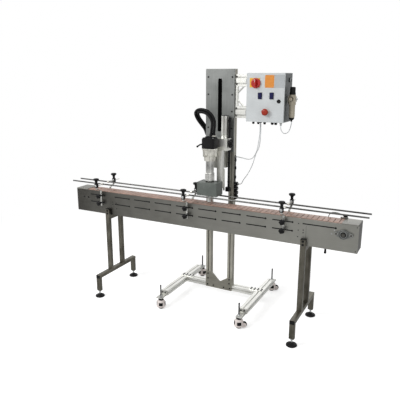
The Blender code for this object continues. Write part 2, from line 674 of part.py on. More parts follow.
def rail_brackets(row, side, places):
    """Bent bars on the side plate, each with its rod clamp, clamp knob and two star knobs."""
    face = HALF_WIDTH + SEAT_GAP
    thick = BRACKET_THICKNESS
    out = HALF_WIDTH + CLAMP_OUT
    foot = RAIL_Z - CLAMP_HEIGHT / 2 + 0.002
    path = [(face, BRACKET_BOTTOM), (face, BRACKET_BEND), (out - thick / 2, foot - 0.012),
            (out - thick / 2, foot),
            (out + thick / 2, foot), (out + thick / 2, foot - 0.015), (face + thick, BRACKET_BEND - 0.003),
            (face + thick, BRACKET_BOTTOM)]
    bar = outline(f"{row}_bracket_source", [[(side * y, z) for y, z in path]], BRACKET_WIDTH, "YZ", 0,
                  ALUMINIUM)
    half = CLAMP_SIDE / 2
    clamp_z = (RAIL_Z - CLAMP_HEIGHT / 2, RAIL_Z + CLAMP_HEIGHT / 2)
    clamp = block(f"{row}_clamp", (-half, half), sorted((side * (out - half), side * (out + half))),
                  clamp_z)
    top = clamp_z[1]
    knob = turned(f"{row}_t_knob", ((0, T_KNOB_HEIGHT), (T_KNOB_RADIUS - 0.003, T_KNOB_HEIGHT),
                                    (T_KNOB_RADIUS, T_KNOB_HEIGHT - 0.003),
                                    (T_KNOB_RADIUS, T_KNOB_HEIGHT - 0.011),
                                    (0.012, T_KNOB_HEIGHT - 0.020), (0.009, 0.004), (0.005, 0.002),
                                    (0.005, -0.004),
                                    (0, -0.004)), (0, side * out, top), sides=10)
    stars = []
    nut = (SHEET + 0.0053, SHEET + RUNNING_GAP)
    for k, height in enumerate(SLOT_ROWS):
        profile = ((0, 0.046), (0.012, 0.046), (STAR_KNOB_RADIUS, 0.042), (STAR_KNOB_RADIUS, 0.030),
                   (0.010, 0.026),
                   (0.008, 0.008), (0.003, 0.006), (0.003, -nut[1]), (0.0065, -nut[1]), (0.0065, -nut[0]),
                   (0, -nut[0]))
        stars.append(turned(f"{row}_star_{k}", profile, (0, side * HALF_WIDTH, height),
                            "y" if side > 0 else "y_out", sides=8))
    bore = cylinder(f"{row}_clamp_bore", (0, 0, RAIL_Z), RAIL_RADIUS + SHAFT_GAP,
                    sorted((side * (out - 0.03), side * (out + 0.03))), "y", sides=12)
    source = cut(unite(bar, clamp, knob, *stars), bore)
    copies(source, [f"{row}_rail_bracket_{k + 1}" for k in range(len(places))],
           [(x, 0, 0) for x in places], ALUMINIUM)


def guide_rail(name, side, places, past):
    """A round rail with the cross rods that its clamps hold."""
    rail = cylinder(name, (0, side * RAIL_Y, RAIL_Z), RAIL_RADIUS, (-RAIL_HALF_LENGTH, RAIL_HALF_LENGTH),
                    "x",
                    BRIGHT, (0, side * RAIL_Y, RAIL_Z), 12)
    tip = HALF_WIDTH + CLAMP_OUT + past
    rods = [cylinder(f"{name}_rod_{k}", (x, 0, RAIL_Z), RAIL_RADIUS * 0.97,
                     sorted((side * RAIL_Y, side * tip)), "y",
                     sides=12) for k, x in enumerate(places)]
    return unite(rail, *rods)


def base_beam(name, side):
    """A side beam of the stand with the arms that carry its two casters."""
    x = STAND_X + side * BEAM_HALF_SPAN
    section = profile_section((x, BEAM_TOP - BEAM_HEIGHT / 2), (BEAM_WIDTH, BEAM_HEIGHT))
    beam = outline(name, [section], 2 * BEAM_HALF_LENGTH, "XZ", STAND_Y, ALUMINIUM)
    arms = []
    bores = []
    low = BEAM_BOTTOM + 0.003
    for end in (-1, 1):
        butt = BEAM_HALF_LENGTH - 0.002
        tip = CASTER_HALF_LENGTH + 0.026
        foot = [(butt, low), (tip, low), (tip, low + CASTER_ARM), (butt + 0.014, low + CASTER_ARM),
                (butt + 0.012, BEAM_TOP), (butt, BEAM_TOP)]
        arms.append(outline(f"{name}_arm_{end}", [[(STAND_Y + end * y, z) for y, z in foot]], 0.050, "YZ",
                            x))
        bores.append(cylinder(f"{name}_bore_{end}",
                              (x - side * CASTER_INSET, STAND_Y + end * CASTER_HALF_LENGTH, 0),
                              CASTER_STUD_RADIUS + SHAFT_GAP, (low - 0.01, low + 0.03), sides=16))
    return cut(unite(beam, *arms), *bores)


def cross_beam():
    """The beam that joins the side beams, with the flat plates bolted over both joints."""
    span = BEAM_HALF_SPAN - BEAM_WIDTH / 2 - SEAT_GAP
    middle = POST_FRONT + BEAM_WIDTH / 2
    section = profile_section((middle, BEAM_TOP - BEAM_HEIGHT / 2), (BEAM_WIDTH, BEAM_HEIGHT))
    beam = outline("cross_beam", [section], 2 * span, "YZ", STAND_X, ALUMINIUM)
    half = JOINT_PLATE_LENGTH / 2
    over = BEAM_HALF_SPAN - 0.030
    pieces = []
    low = BEAM_TOP + SEAT_GAP
    for side in (-1, 1):
        x = STAND_X + side * over
        pieces.append(block(f"joint_plate_{side}", (x - half, x + half), (middle - 0.022, middle + 0.022),
                            (low, low + JOINT_PLATE)))
        for row in (-1, 1):
            for k in range(4):
                bolt_x = x + (k - 1.5) * 0.030
                on_cross = abs(bolt_x - STAND_X) < span - 0.008
                bottom = BEAM_TOP - 0.006 if on_cross else low + 0.001
                pieces.append(cylinder(f"joint_bolt_{side}_{row}_{k}", (bolt_x, middle + row * 0.0135, 0),
                                       0.005,
                                       (bottom, low + JOINT_PLATE + 0.0045), sides=6))
    return unite(beam, *pieces)


def column_post(name, side):
    x = COLUMN_X + side * (COLUMN_WIDTH - POST_SIDE) / 2
    section = profile_section((x, POST_FRONT + POST_SIDE / 2), (POST_SIDE, POST_SIDE))
    low = BEAM_TOP + SEAT_GAP
    return outline(name, [section], COLUMN_TOP - low, "XY", (COLUMN_TOP + low) / 2, ALUMINIUM)


def base_gusset():
    """The plate bolted over the posts' feet and the cross beam, dipping between them."""
    left = COLUMN_LEFT
    right = COLUMN_RIGHT
    loop = [(left, BEAM_BOTTOM), (right, BEAM_BOTTOM), (right, GUSSET_TOPS[1]),
            (right - POST_SIDE + GUSSET_STEPS[1], GUSSET_TOPS[1]),
            (COLUMN_X + GUSSET_DIP_SHIFT, GUSSET_DIP),
            (left + POST_SIDE + GUSSET_STEPS[0], GUSSET_TOPS[0]), (left, GUSSET_TOPS[0])]
    middle = POST_FRONT - SEAT_GAP - GUSSET_PLATE / 2
    return outline("base_gusset_plate", [loop], GUSSET_PLATE, "XZ", middle, PLATE_GREY)


def column_plate():
    half = COLUMN_SLOT_WIDTH / 2
    arc = [math.radians(15 * k) for k in range(13)]
    upper = [(COLUMN_X + half * math.cos(a), COLUMN_SLOT_TOP - half + half * math.sin(a)) for a in arc]
    lower = [(2 * COLUMN_X - x, COLUMN_SLOT_BOTTOM + COLUMN_SLOT_TOP - z) for x, z in upper]
    edge = rectangle((COLUMN_LEFT, COLUMN_RIGHT), (COLUMN_PLATE_BOTTOM, COLUMN_TOP))
    return outline("column_plate", [edge, upper + lower], COLUMN_PLATE, "XZ",
                   COLUMN_FRONT + COLUMN_PLATE / 2, PLATE_GREY)


def height_carriage():
    """Slide plate, its captive nut plate through the column slot, and its upright bar."""
    back = COLUMN_FRONT - RUNNING_GAP
    front = back - CARRIAGE_PLATE
    right = CARRIAGE_PROFILE_X + POST_SIDE / 2 + 0.004
    plate = block("height_carriage", (COLUMN_X - NUT_PLATE_WIDTH / 2, right), (front, back),
                  CARRIAGE_PLATE_Z, ALUMINIUM)
    behind = COLUMN_FRONT + COLUMN_PLATE + RUNNING_GAP
    half = COLUMN_SLOT_WIDTH / 2 - RUNNING_GAP
    tongue = block("carriage_tongue", (COLUMN_X - half, COLUMN_X + half), (back - 0.002, behind + 0.002),
                   (NUT_PLATE_Z[0] + half, NUT_PLATE_Z[1] - half))
    nut = block("carriage_nut_plate", (COLUMN_X - NUT_PLATE_WIDTH / 2, COLUMN_X + NUT_PLATE_WIDTH / 2),
                (behind, behind + 0.010), NUT_PLATE_Z)
    boss = block("carriage_hose_boss", (COLUMN_X - HOSE_BOSS_HALF, COLUMN_X + HOSE_BOSS_HALF),
                 (behind + 0.008, POST_BACK + 0.060),
                 (NUT_PLATE_Z[0] + 0.008, NUT_PLATE_Z[1] - 0.008))
    section = profile_section((CARRIAGE_PROFILE_X, front - POST_SIDE / 2 + 0.0005), (POST_SIDE, POST_SIDE))
    low, high = CARRIAGE_PROFILE_Z
    upright = outline("carriage_upright", [section], high - low, "XY", (low + high) / 2)
    return unite(plate, tongue, nut, boss, upright)


def carriage_front():
    return COLUMN_FRONT - RUNNING_GAP - CARRIAGE_PLATE - POST_SIDE + 0.0005


def head_bracket():
    """The block that carries the head on the upright, and the bar that carries the guard."""
    back = carriage_front() - SEAT_GAP
    front = HOUSING_TOP_RADIUS + 0.001
    block_z = BRACKET_BLOCK_Z
    body = block("head_bracket", (HEAD_X - 0.040, BRACKET_BLOCK_RIGHT), (front, back), block_z, ALUMINIUM)
    web = block("head_bracket_web", (HEAD_X - 0.006, HEAD_X + 0.050), (front, back),
                (1.170, block_z[0] + 0.001))
    rear_wall = GUARD_SIZE[1] / 2 + SEAT_GAP
    x = HEAD_X + 0.055
    half = GUARD_POST_SIDE / 2
    bar = block("head_bracket_bar", (x - half, x + half), (rear_wall, rear_wall + GUARD_POST_SIDE),
                (GUARD_POST_BOTTOM, block_z[0] + 0.001))
    fin = block("head_bracket_fin", (x + half - 0.002, x + half + 0.010),
                (rear_wall + 0.030, rear_wall + 0.036),
                (GUARD_POST_BOTTOM - 0.020, 1.160))
    bore = cylinder("head_bracket_wheel_bore", (0, HANDWHEEL_Y, HANDWHEEL_Z), 0.0065,
                    (BRACKET_BLOCK_RIGHT - 0.030, BRACKET_BLOCK_RIGHT + 0.010), "x", sides=16)
    shoulder = block("head_bracket_seat", (HEAD_X - 0.030, HEAD_X + 0.030), (0.030, front + 0.002),
                     (block_z[0] + 0.010, MOTOR_BOTTOM - 0.0075))
    room = cylinder("head_bracket_housing_room", (HEAD_X, 0, 0), HOUSING_TOP_RADIUS + SEAT_GAP,
                    (block_z[0] - 0.02, MOTOR_BOTTOM + 0.02), sides=40)
    return cut(unite(body, web, bar, fin, cut(shoulder, room)), bore)


def handwheel():
    at = (BRACKET_BLOCK_RIGHT, HANDWHEEL_Y, HANDWHEEL_Z)
    rim = HANDWHEEL_RADIUS
    wheel = turned("handwheel", ((0, 0.030), (0.011, 0.030), (0.013, 0.026), (0.013, 0.018),
                                 (rim - 0.006, 0.018),
                                 (rim - 0.002, 0.020), (rim, 0.014), (rim - 0.002, 0.007),
                                 (rim - 0.006, 0.009),
                                 (0.012, 0.009), (0.012, RUNNING_GAP), (0.006, RUNNING_GAP),
                                 (0.006, -0.025),
                                 (0, -0.025)), at, "x", BLACK, 22)
    return wheel


def head_motor():
    """The black motor cover with its terminal crown and a short side lever."""
    width, depth, height = MOTOR_SIZE
    body = block("head_motor", (HEAD_X - width / 2, HEAD_X + width / 2), (-depth / 2, depth / 2),
                 (MOTOR_BOTTOM, MOTOR_BOTTOM + height - 0.004), BLACK)
    crown = block("head_motor_crown", (HEAD_X - 0.024, HEAD_X + 0.034), (-0.030, 0.034),
                  (MOTOR_BOTTOM + height - 0.006, MOTOR_BOTTOM + height + 0.002))
    lever = tube("head_motor_lever", ((HEAD_X - width / 2 + 0.006, -0.036, MOTOR_BOTTOM + 0.030),
                                      (HEAD_X - width / 2 - 0.012, -0.038, MOTOR_BOTTOM + 0.027),
                                      (HEAD_X - width / 2 - 0.032, -0.040, MOTOR_BOTTOM + 0.014)), 0.004,
                                      steps=3)
    soften(body, 0.012, 2)
    return unite(body, crown, lever)


def spindle_housing():
    """The stepped cone under the motor, bored for the quill."""
    top = MOTOR_BOTTOM - SEAT_GAP
    r = HOUSING_TOP_RADIUS
    low = HOUSING_BOTTOM
    profile = ((0, top), (r, top), (r, top - 0.010), (r - 0.004, top - 0.014), (r - 0.007, top - 0.045),
               (r - 0.009, top - 0.046), (r - 0.012, top - 0.060), (HOUSING_LOW_RADIUS, top - 0.078),
               (HOUSING_LOW_RADIUS, low), (0, low))
    housing = turned("spindle_housing", profile, (HEAD_X, 0, 0), finish=ALUMINIUM, sides=28)
    bore = cylinder("spindle_housing_bore", (HEAD_X, 0, 0), QUILL_RADIUS + SHAFT_GAP,
                    (low - 0.010, top - 0.010), sides=28)
    return cut(housing, bore)


def spindle_quill():
    """The sliding quill with its ribbed collar; it runs up into the housing."""
    top = MOTOR_BOTTOM - 0.014 - QUILL_STROKE
    low, high = COLLAR_Z
    nose = CHUCK_Z[1] + RUNNING_GAP
    profile = [(0, top), (QUILL_RADIUS, top), (QUILL_RADIUS, high), (COLLAR_RADIUS, high)]
    ribs = 4
    step = (high - low) / ribs
    for k in range(1, ribs):
        at = high - k * step
        profile += [(COLLAR_RADIUS, at + 0.002), (COLLAR_RADIUS - 0.003, at), (COLLAR_RADIUS, at - 0.002)]
    profile += [(COLLAR_RADIUS, low), (0.024, low), (0.024, nose), (0, nose)]
    quill = turned("spindle_quill", profile, (HEAD_X, 0, 0), finish=BRIGHT, sides=24)
    bore = cylinder("spindle_quill_bore", (HEAD_X, 0, 0), SPINDLE_BORE + SHAFT_GAP,
                    (nose - 0.01, nose + 0.060), sides=16)
    return cut(quill, bore)


def chuck():
    """The cap chuck on its spindle: a cup whose open mouth grips the cap."""
    low, high = CHUCK_Z
    r = CHUCK_RADIUS
    cup = 0.030
    profile = ((0, high + 0.052), (SPINDLE_BORE, high + 0.052), (SPINDLE_BORE, high), (0.020, high),
               (0.022, high - 0.004),
               (0.022, high - 0.018), (r, high - 0.022), (r, low + 0.002), (r - 0.002, low),
               (r - 0.0065, low),
               (r - 0.009, low + 0.004), (r - 0.010, low + cup), (0, low + cup))
    return turned("chuck", profile, (HEAD_X, 0, 0), finish=BRIGHT, sides=20)


def guard_box():
    """The sheet-metal hood round the chuck, open below."""
    width, depth, height = GUARD_SIZE
    hood = block("guard_box", (HEAD_X - width / 2, HEAD_X + width / 2), (-depth / 2, depth / 2),
                 (GUARD_BOTTOM, GUARD_BOTTOM + height), GUARD_GREY)
    inside = block("guard_room", (HEAD_X - width / 2 + GUARD_WALL, HEAD_X + width / 2 - GUARD_WALL),
                   (-depth / 2 + GUARD_WALL, depth / 2 - GUARD_WALL),
                   (GUARD_BOTTOM - 0.010, GUARD_BOTTOM + height - GUARD_WALL))
    hole = cylinder("guard_hole", (HEAD_X, 0, 0), 0.034,
                    (GUARD_BOTTOM + height - 0.010, GUARD_BOTTOM + height + 0.010),
                    sides=24)
    return cut(hood, inside, hole)


def head_hose():
    """The black hose loop from the motor over to the back of the height carriage."""
    top = MOTOR_BOTTOM + MOTOR_SIZE[2] + 0.002 + SEAT_GAP
    wrap = HOSE_RADIUS + 0.013
    behind = POST_BACK + wrap
    end_x = COLUMN_X - HOSE_BOSS_HALF - RUNNING_GAP
    end_z = (NUT_PLATE_Z[0] + NUT_PLATE_Z[1]) / 2
    x = HEAD_X + 0.021
    route = ((x, 0, top), (x, 0, top + 0.008), (x, 0, top + 0.022), (x + 0.005, 0.002, top + 0.070),
             (x + 0.001, 0.008, top + 0.115), (x - 0.033, 0.022, top + 0.157),
             (x - 0.087, 0.045, top + 0.180), (x - 0.150, 0.075, top + 0.181),
             (x - 0.187, 0.100, top + 0.161), (x - 0.193, 0.140, top + 0.119),
             (COLUMN_LEFT - 0.028, 0.185, top + 0.073), (COLUMN_LEFT - 0.019, 0.235, top + 0.028),
             (COLUMN_LEFT - 0.012, POST_BACK + 0.6 * wrap, end_z + 0.040),
             (COLUMN_LEFT + 0.012, behind, end_z + 0.012), (end_x - 0.040, behind, end_z),
             (end_x - 0.012, behind, end_z),
             (end_x, behind, end_z))
    return tube("head_hose", route, HOSE_RADIUS, BLACK, steps=3, resolution=2)


def cable_conduit():
    """The black conduit beside the upright, with the plug block on its lower end."""
    x = CARRIAGE_PROFILE_X + POST_SIDE / 2 + CONDUIT_RADIUS + 0.0015
    y = COLUMN_FRONT - CARRIAGE_PLATE - 0.026
    route = ((x, y, 1.555), (x, y, 1.440), (x - 0.0005, y, 1.330), (x + 0.003, y, 1.262), (x, y, 1.200),
             (x, y, 1.100),
             (x, y - 0.004, 1.000))
    pipe = tube("cable_conduit", route, CONDUIT_RADIUS, BLACK, steps=3, resolution=2)
    plug = block("cable_conduit_plug", (x - 0.020, x + 0.016), (y - 0.020, y + 0.010), (0.972, 1.006))
    clip = block("cable_conduit_clip", (CARRIAGE_PROFILE_X + POST_SIDE / 2 + SEAT_GAP, x),
                 (y - 0.006, y + 0.006),
                 (1.180, 1.196))
    return unite(pipe, plug, clip)


def cabinet():
    """The control cabinet: an open-fronted shell with cable glands under it."""
    x, z = CABINET_X, CABINET_Z
    front = CABINET_FRONT + DOOR_DEPTH + RUNNING_GAP
    wall = CABINET_WALL
    shell = block("cabinet_box", x, (front, CABINET_BACK), z, CABINET_GREY)
    room = block("cabinet_room", (x[0] + wall, x[1] - wall), (front - 0.010, CABINET_BACK - wall),
                 (z[0] + wall, z[1] - wall))
    panel = block("cabinet_panel", (x[0] + 0.020, x[1] - 0.020),
                  (CABINET_BACK - 0.012, CABINET_BACK - 0.001),
                  (z[0] + 0.020, z[1] - 0.020))
    glands = []
    for k, (spot, radius, height) in enumerate([(*gland, GLAND_HEIGHT) for gland in GLANDS] + [TUBE_GLAND]):
        waist = 0.7 * radius
        profile = ((0, 0.001), (radius, 0.001), (radius, 0.006 - height), (waist, 0.003 - height),
                   (waist, -height), (0, -height))
        glands.append(turned(f"cabinet_gland_{k}", profile, (spot, GLAND_Y, z[0]), sides=8))
    plug = cylinder("cabinet_side_plug", (0, 0.145, 1.838), 0.014, (x[1] - 0.001, x[1] + 0.012), "x",
                    sides=16)
    return unite(cut(shell, room), panel, *glands, plug)


def cabinet_door():
    """The door: a shallow tray with knuckles on its left edge and holes for its controls."""
    x, z = CABINET_X, CABINET_Z
    wall = CABINET_WALL
    pin = (x[0] - DOOR_PIN_OUT, CABINET_FRONT + DOOR_PIN_INSET, (z[0] + z[1]) / 2)
    tray = block("cabinet_door", x, (CABINET_FRONT, CABINET_FRONT + DOOR_DEPTH), z, CABINET_GREY, pin)
    room = block("door_room", (x[0] + wall, x[1] - wall),
                 (CABINET_FRONT + wall, CABINET_FRONT + DOOR_DEPTH + 0.01),
                 (z[0] + wall, z[1] - wall))
    holes = [cylinder(f"door_hole_{label}", (spot[0], 0, spot[1]), 0.006 + SHAFT_GAP,
                      (CABINET_FRONT - 0.010, CABINET_FRONT + 0.010), "y", sides=16)
             for label, spot in (("switch", SWITCH_CENTRE), ("stop", STOP_CENTRE), ("lock", LOCK_CENTRE))]
    knuckles = [cylinder(f"door_knuckle_{k}", pin, DOOR_KNUCKLE_RADIUS, (height - 0.020, height + 0.020),
                         sides=12)
                for k, height in enumerate((z[0] + 0.060, z[1] - 0.060))]
    return cut(unite(tray, *knuckles), room, *holes)


def door_control(name, spot, finish, profile, sides=20):
    """A turned control on the door: its profile's places are measured out of the door."""
    return turned(name, profile, (spot[0], CABINET_FRONT, spot[1]), "y_out", finish, sides)


def door_controls():
    shank = CABINET_WALL + 0.004
    r = SWITCH_RADIUS
    dial = door_control("main_switch", SWITCH_CENTRE, RED,
                        ((0, 0.012), (r - 0.004, 0.012), (r, 0.009), (r, 0.001), (0.006, 0.001),
                         (0.006, -shank), (0, -shank)))
    x, z = SWITCH_CENTRE
    grip = block("main_switch_grip", (x - 0.007, x + 0.007), (CABINET_FRONT - 0.030, CABINET_FRONT - 0.010),
                 (z - r + 0.006, z + r - 0.006))
    unite(dial, grip)
    r = STOP_RADIUS
    skirt = STOP_TRAVEL + 0.001
    door_control("e_stop", STOP_CENTRE, RED,
                 ((0, 0.034), (r - 0.010, 0.033), (r - 0.002, 0.029), (r, 0.025), (r, 0.020),
                                              (0.013, 0.015), (0.013, skirt), (0.006, skirt),
                                              (0.006, -shank), (0, -shank)))
    r = LOCK_RADIUS
    barrel = door_control("key_lock", LOCK_CENTRE, BLACK,
                          ((0, 0.006), (r - 0.001, 0.006), (r, 0.005), (r, 0.0006),
                                                           (0.006, 0.0006), (0.006, -0.009), (0, -0.009)),
                                                           20)
    x, z = LOCK_CENTRE
    cam = block("key_lock_cam", (x - 0.005, x + 0.005), (CABINET_FRONT + 0.0045, CABINET_FRONT + 0.0085),
                (z - 0.004, z + 0.030))
    return unite(barrel, cam)


def cabinet_arms():
    """Two deep bars from the column to the cabinet, tied by an upright and two braces."""
    left = COLUMN_RIGHT + SEAT_GAP
    length = ARM_REACH - left
    middle_x = (ARM_REACH + left) / 2
    middle_y = POST_FRONT + POST_SIDE / 2
    bars = []
    for k, top in enumerate(ARM_TOPS):
        section = profile_section((middle_y, top - ARM_HEIGHT / 2), (POST_SIDE, ARM_HEIGHT), (1, 2))
        name, finish = (("cabinet_arms", ALUMINIUM), ("cabinet_lower_arm", None))[k]
        bars.append(outline(name, [section], length, "YZ", middle_x, finish))
    high = ARM_TOPS[0] - ARM_HEIGHT
    low = ARM_TOPS[1]
    depth = (POST_FRONT, POST_FRONT + 0.025)
    tie = block("arm_tie", (left, left + 0.022), depth, (low - 0.002, high + 0.002))
    run = 0.052
    braces = []
    for k, (corner, way) in enumerate(((high, -1), (low, 1))):
        start = left + 0.020
        loop = [(start, corner + way * run), (start, corner + way * (run - 0.012)),
                (start + run - 0.012, corner - way * 0.002),
                (start + run, corner - way * 0.002)]
        braces.append(outline(f"arm_brace_{k}", [loop], 0.020, "XZ", POST_FRONT + 0.011))
    return unite(bars[0], bars[1], tie, *braces)


def air_unit():
    """Filter and regulator on the cabinet's side: body, bowl, gauge, port and bracket."""
    side = AIR_UNIT_SIDE / 2
    x = AIR_UNIT_X
    low, high = AIR_UNIT_Z
    body = block("air_unit", (x - side, x + side), (AIR_UNIT_Y - side, AIR_UNIT_Y + side),
                 (high - 0.072, high),
                 BEIGE, rounding=0.003)
    bowl = turned("air_unit_bowl", ((0, high - 0.070), (0.0215, high - 0.070), (0.0215, low + 0.020),
                                    (0.018, low + 0.006), (0.012, low), (0.006, low - 0.001),
                                    (0.006, low - 0.012), (0, low - 0.012)), (x, AIR_UNIT_Y, 0), sides=20)
    gauge = cylinder("air_unit_gauge", (x - 0.002, 0, high - 0.030), 0.015,
                     (AIR_UNIT_Y - side - 0.012, AIR_UNIT_Y - side + 0.002), "y", sides=20)
    port = cylinder("air_unit_port", (0, AIR_UNIT_Y, high - 0.030), 0.008,
                    (x + side - 0.002, x + side + 0.010),
                    "x", sides=12)
    bracket = block("air_unit_bracket", (CABINET_X[1] + SEAT_GAP, x - side + 0.002),
                    (AIR_UNIT_Y - 0.018, AIR_UNIT_Y + 0.018), (high - 0.060, high - 0.020))
    socket = cylinder("air_unit_socket", (x, AIR_UNIT_Y, 0), 0.010 + SHAFT_GAP,
                      (high - 0.012, high + 0.010),
                      sides=20)
    return cut(unite(body, bowl, gauge, port, bracket), socket)


def regulator_knob():
    profile = ((0, 0.054), (0.018, 0.054), (0.020, 0.050), (0.020, 0.016), (0.021, 0.012),
               (0.022, RUNNING_GAP),
               (0.010, RUNNING_GAP), (0.010, -0.011), (0, -0.011))
    return turned("regulator_knob", profile, (AIR_UNIT_X, AIR_UNIT_Y, AIR_UNIT_Z[1]), finish=BLACK)


def air_tubes():
    """The loop from the air unit into the cabinet, and the pair that drops to the column."""
    x, y = AIR_UNIT_X, AIR_UNIT_Y
    start = AIR_UNIT_Z[0] - 0.012 - SEAT_GAP
    gland_x, _, gland_height = TUBE_GLAND
    end = CABINET_Z[0] - gland_height - SEAT_GAP
    loop = ((x, y, start), (x, y, start - 0.018), (x - 0.008, y - 0.007, start - 0.056),
            (x - 0.020, y - 0.018, start - 0.078), (x - 0.041, y - 0.034, start - 0.083),
            (gland_x + 0.003, GLAND_Y + 0.010, end - 0.036), (gland_x, GLAND_Y, end - 0.016),
            (gland_x, GLAND_Y, end - 0.006),
            (gland_x, GLAND_Y, end))
    tube("air_tube_loop", loop, AIR_TUBE_RADIUS, CLEAR_TUBE, 3, 1)
    x, y = COLUMN_TUBES
    top = CABINET_Z[0] - SEAT_GAP
    sleeve = cylinder("column_air_tubes", (x, y, 0), 0.0075, (top - 0.012, top), finish=CLEAR_TUBE,
                      sides=16)
    middle = POST_FRONT + POST_SIDE / 2
    high, low = (top - drop for drop in COLUMN_TUBE_DROPS)
    face = VALVE_FACE + FITTING_REACH + RUNNING_GAP
    upper = ((x - 0.003, y, top - 0.006), (x - 0.004, y + 0.002, top - 0.074),
             (x - 0.012, y + 0.006, top - 0.149), (x - 0.028, y + 0.016, top - 0.222),
             (x - 0.064, y + 0.043, top - 0.279), (x - 0.098, y + 0.060, top - 0.301),
             (x - 0.136, y + 0.075, top - 0.305), (face + 0.062, middle - 0.022, high - 0.001),
             (face + 0.018, middle, high),
             (face + 0.007, middle, high), (face, middle, high))
    face = VALVE_FACE + VALVE_DEPTH + FITTING_REACH + RUNNING_GAP
    lower = ((x + 0.003, y, top - 0.006), (x + 0.002, y + 0.002, top - 0.074),
             (x - 0.006, y + 0.010, top - 0.149), (x - 0.020, y + 0.024, top - 0.205),
             (x - 0.046, y + 0.040, top - 0.254), (x - 0.078, y + 0.057, top - 0.342),
             (x - 0.118, y + 0.076, top - 0.416), (x - 0.160, y + 0.094, top - 0.472),
             (face + 0.020, middle - 0.002, low + 0.006),
             (face + 0.008, middle, low), (face, middle, low))
    return unite(sleeve, tube("column_tube_upper", upper, AIR_TUBE_RADIUS, steps=2, resolution=1),
                 tube("column_tube_lower", lower, AIR_TUBE_RADIUS, steps=2, resolution=1))


def valve_block():
    """The strip on the column's side: a valve stack with fittings where the tubes end."""
    left = VALVE_FACE
    middle = POST_FRONT + POST_SIDE / 2
    high, low = (CABINET_Z[0] - SEAT_GAP - drop for drop in COLUMN_TUBE_DROPS)
    foot = low - 3.5 * VALVE_PITCH
    strip = block("valve_block", (left, left + 0.003), (middle - 0.010, middle + 0.010),
                  (foot - 0.004, high + 0.012), BLACK)
    pieces = [cylinder("valve_fitting_upper", (0, middle, high), 0.007,
                       (left + 0.001, left + FITTING_REACH), "x",
                       sides=14),
              cylinder("valve_fitting_lower", (0, middle, low), 0.007,
                       (left + VALVE_DEPTH - 0.002, left + VALVE_DEPTH + FITTING_REACH), "x", sides=14)]
    for k in range(4):
        bottom = foot + k * VALVE_PITCH
        pieces.append(block(f"valve_body_{k}", (left, left + VALVE_DEPTH), (middle - 0.018, middle + 0.018),
                            (bottom, bottom + VALVE_PITCH - 0.004)))
    return unite(strip, *pieces)


def casters():
    """Levelling casters: a housing that swivels on its stud, and its wheel."""
    source = block("caster_source", (-0.030, CASTER_REACH), (-CASTER_WIDTH / 2, CASTER_WIDTH / 2),
                   (0.012, CASTER_TOP),
                   PALE_HOUSING)
    soften(source, 0.008, 2)
    wheel_z = WHEEL_RADIUS + 0.002
    slot = block("caster_wheel_slot", (CASTER_TRAIL - WHEEL_RADIUS - 0.002, CASTER_REACH + 0.010),
                 (-WHEEL_WIDTH / 2 - 0.001, WHEEL_WIDTH / 2 + 0.001), (0, wheel_z + WHEEL_RADIUS + 0.002))
    window = block("caster_window", (-0.040, -0.004), (-0.016, 0.016), (0.022, 0.040))
    axle = cylinder("caster_axle_bore", (CASTER_TRAIL, 0, wheel_z), 0.004 + SHAFT_GAP,
                    (-CASTER_WIDTH, CASTER_WIDTH), "y",
                    sides=16)
    arm = BEAM_BOTTOM + 0.003
    over = arm + CASTER_ARM + SEAT_GAP
    stud = turned("caster_stud", ((0, CASTER_STUD_TOP), (0.006, CASTER_STUD_TOP), (0.006, over + 0.009),
                                  (0.010, over + 0.009),
                                  (0.010, over), (0.006, over), (0.006, arm - SEAT_GAP),
                                  (0.016, arm - SEAT_GAP),
                                  (0.018, arm - 0.006), (0.020, CASTER_TOP - 0.004),
                                  (0.009, CASTER_TOP - 0.010),
                                  (0.009, 0.014), (CASTER_PAD_RADIUS, CASTER_PAD_HEIGHT),
                                  (CASTER_PAD_RADIUS, 0), (0, 0)),
                  (0, 0, 0), sides=12)
    housing = cut(source, slot, window, axle)
    unite(housing, stud)
    half = WHEEL_WIDTH / 2
    reach = CASTER_WIDTH / 2 - 0.002
    rim = WHEEL_RADIUS
    spots = {"front_left": (-1, -1), "front_right": (1, -1), "rear_left": (-1, 1), "rear_right": (1, 1)}
    half_span = BEAM_HALF_SPAN - CASTER_INSET
    bpy.context.view_layer.update()
    shape = bpy.data.meshes.new_from_object(housing.evaluated_get(bpy.context.evaluated_depsgraph_get()))
    shape.materials.clear()
    bpy.data.objects.remove(housing, do_unlink=True)
    for name, (across, along) in spots.items():
        spot = Vector((STAND_X + across * half_span, STAND_Y + along * CASTER_HALF_LENGTH, 0))
        turn = Matrix.Rotation(math.radians(CASTER_TURNS[name]), 4, "Z")
        made = place(shape.copy(), f"caster_{name}", PALE_HOUSING)
        made.location = spot
        made.rotation_euler = turn.to_euler()
        wheel = turned(f"caster_wheel_{name}",
                       ((0, reach), (0.004, reach), (0.004, half), (rim - 0.003, half),
                                                (rim, half - 0.003), (rim, 0.003 - half),
                                                (rim - 0.003, -half),
                                                (0.004, -half), (0.004, -reach), (0, -reach)), (0, 0, 0),
                                                "y", BLACK, 16)
        wheel.location = spot + turn @ Vector((CASTER_TRAIL, 0, wheel_z))
        wheel.rotation_euler = (turn @ TURN["y"]).to_euler()


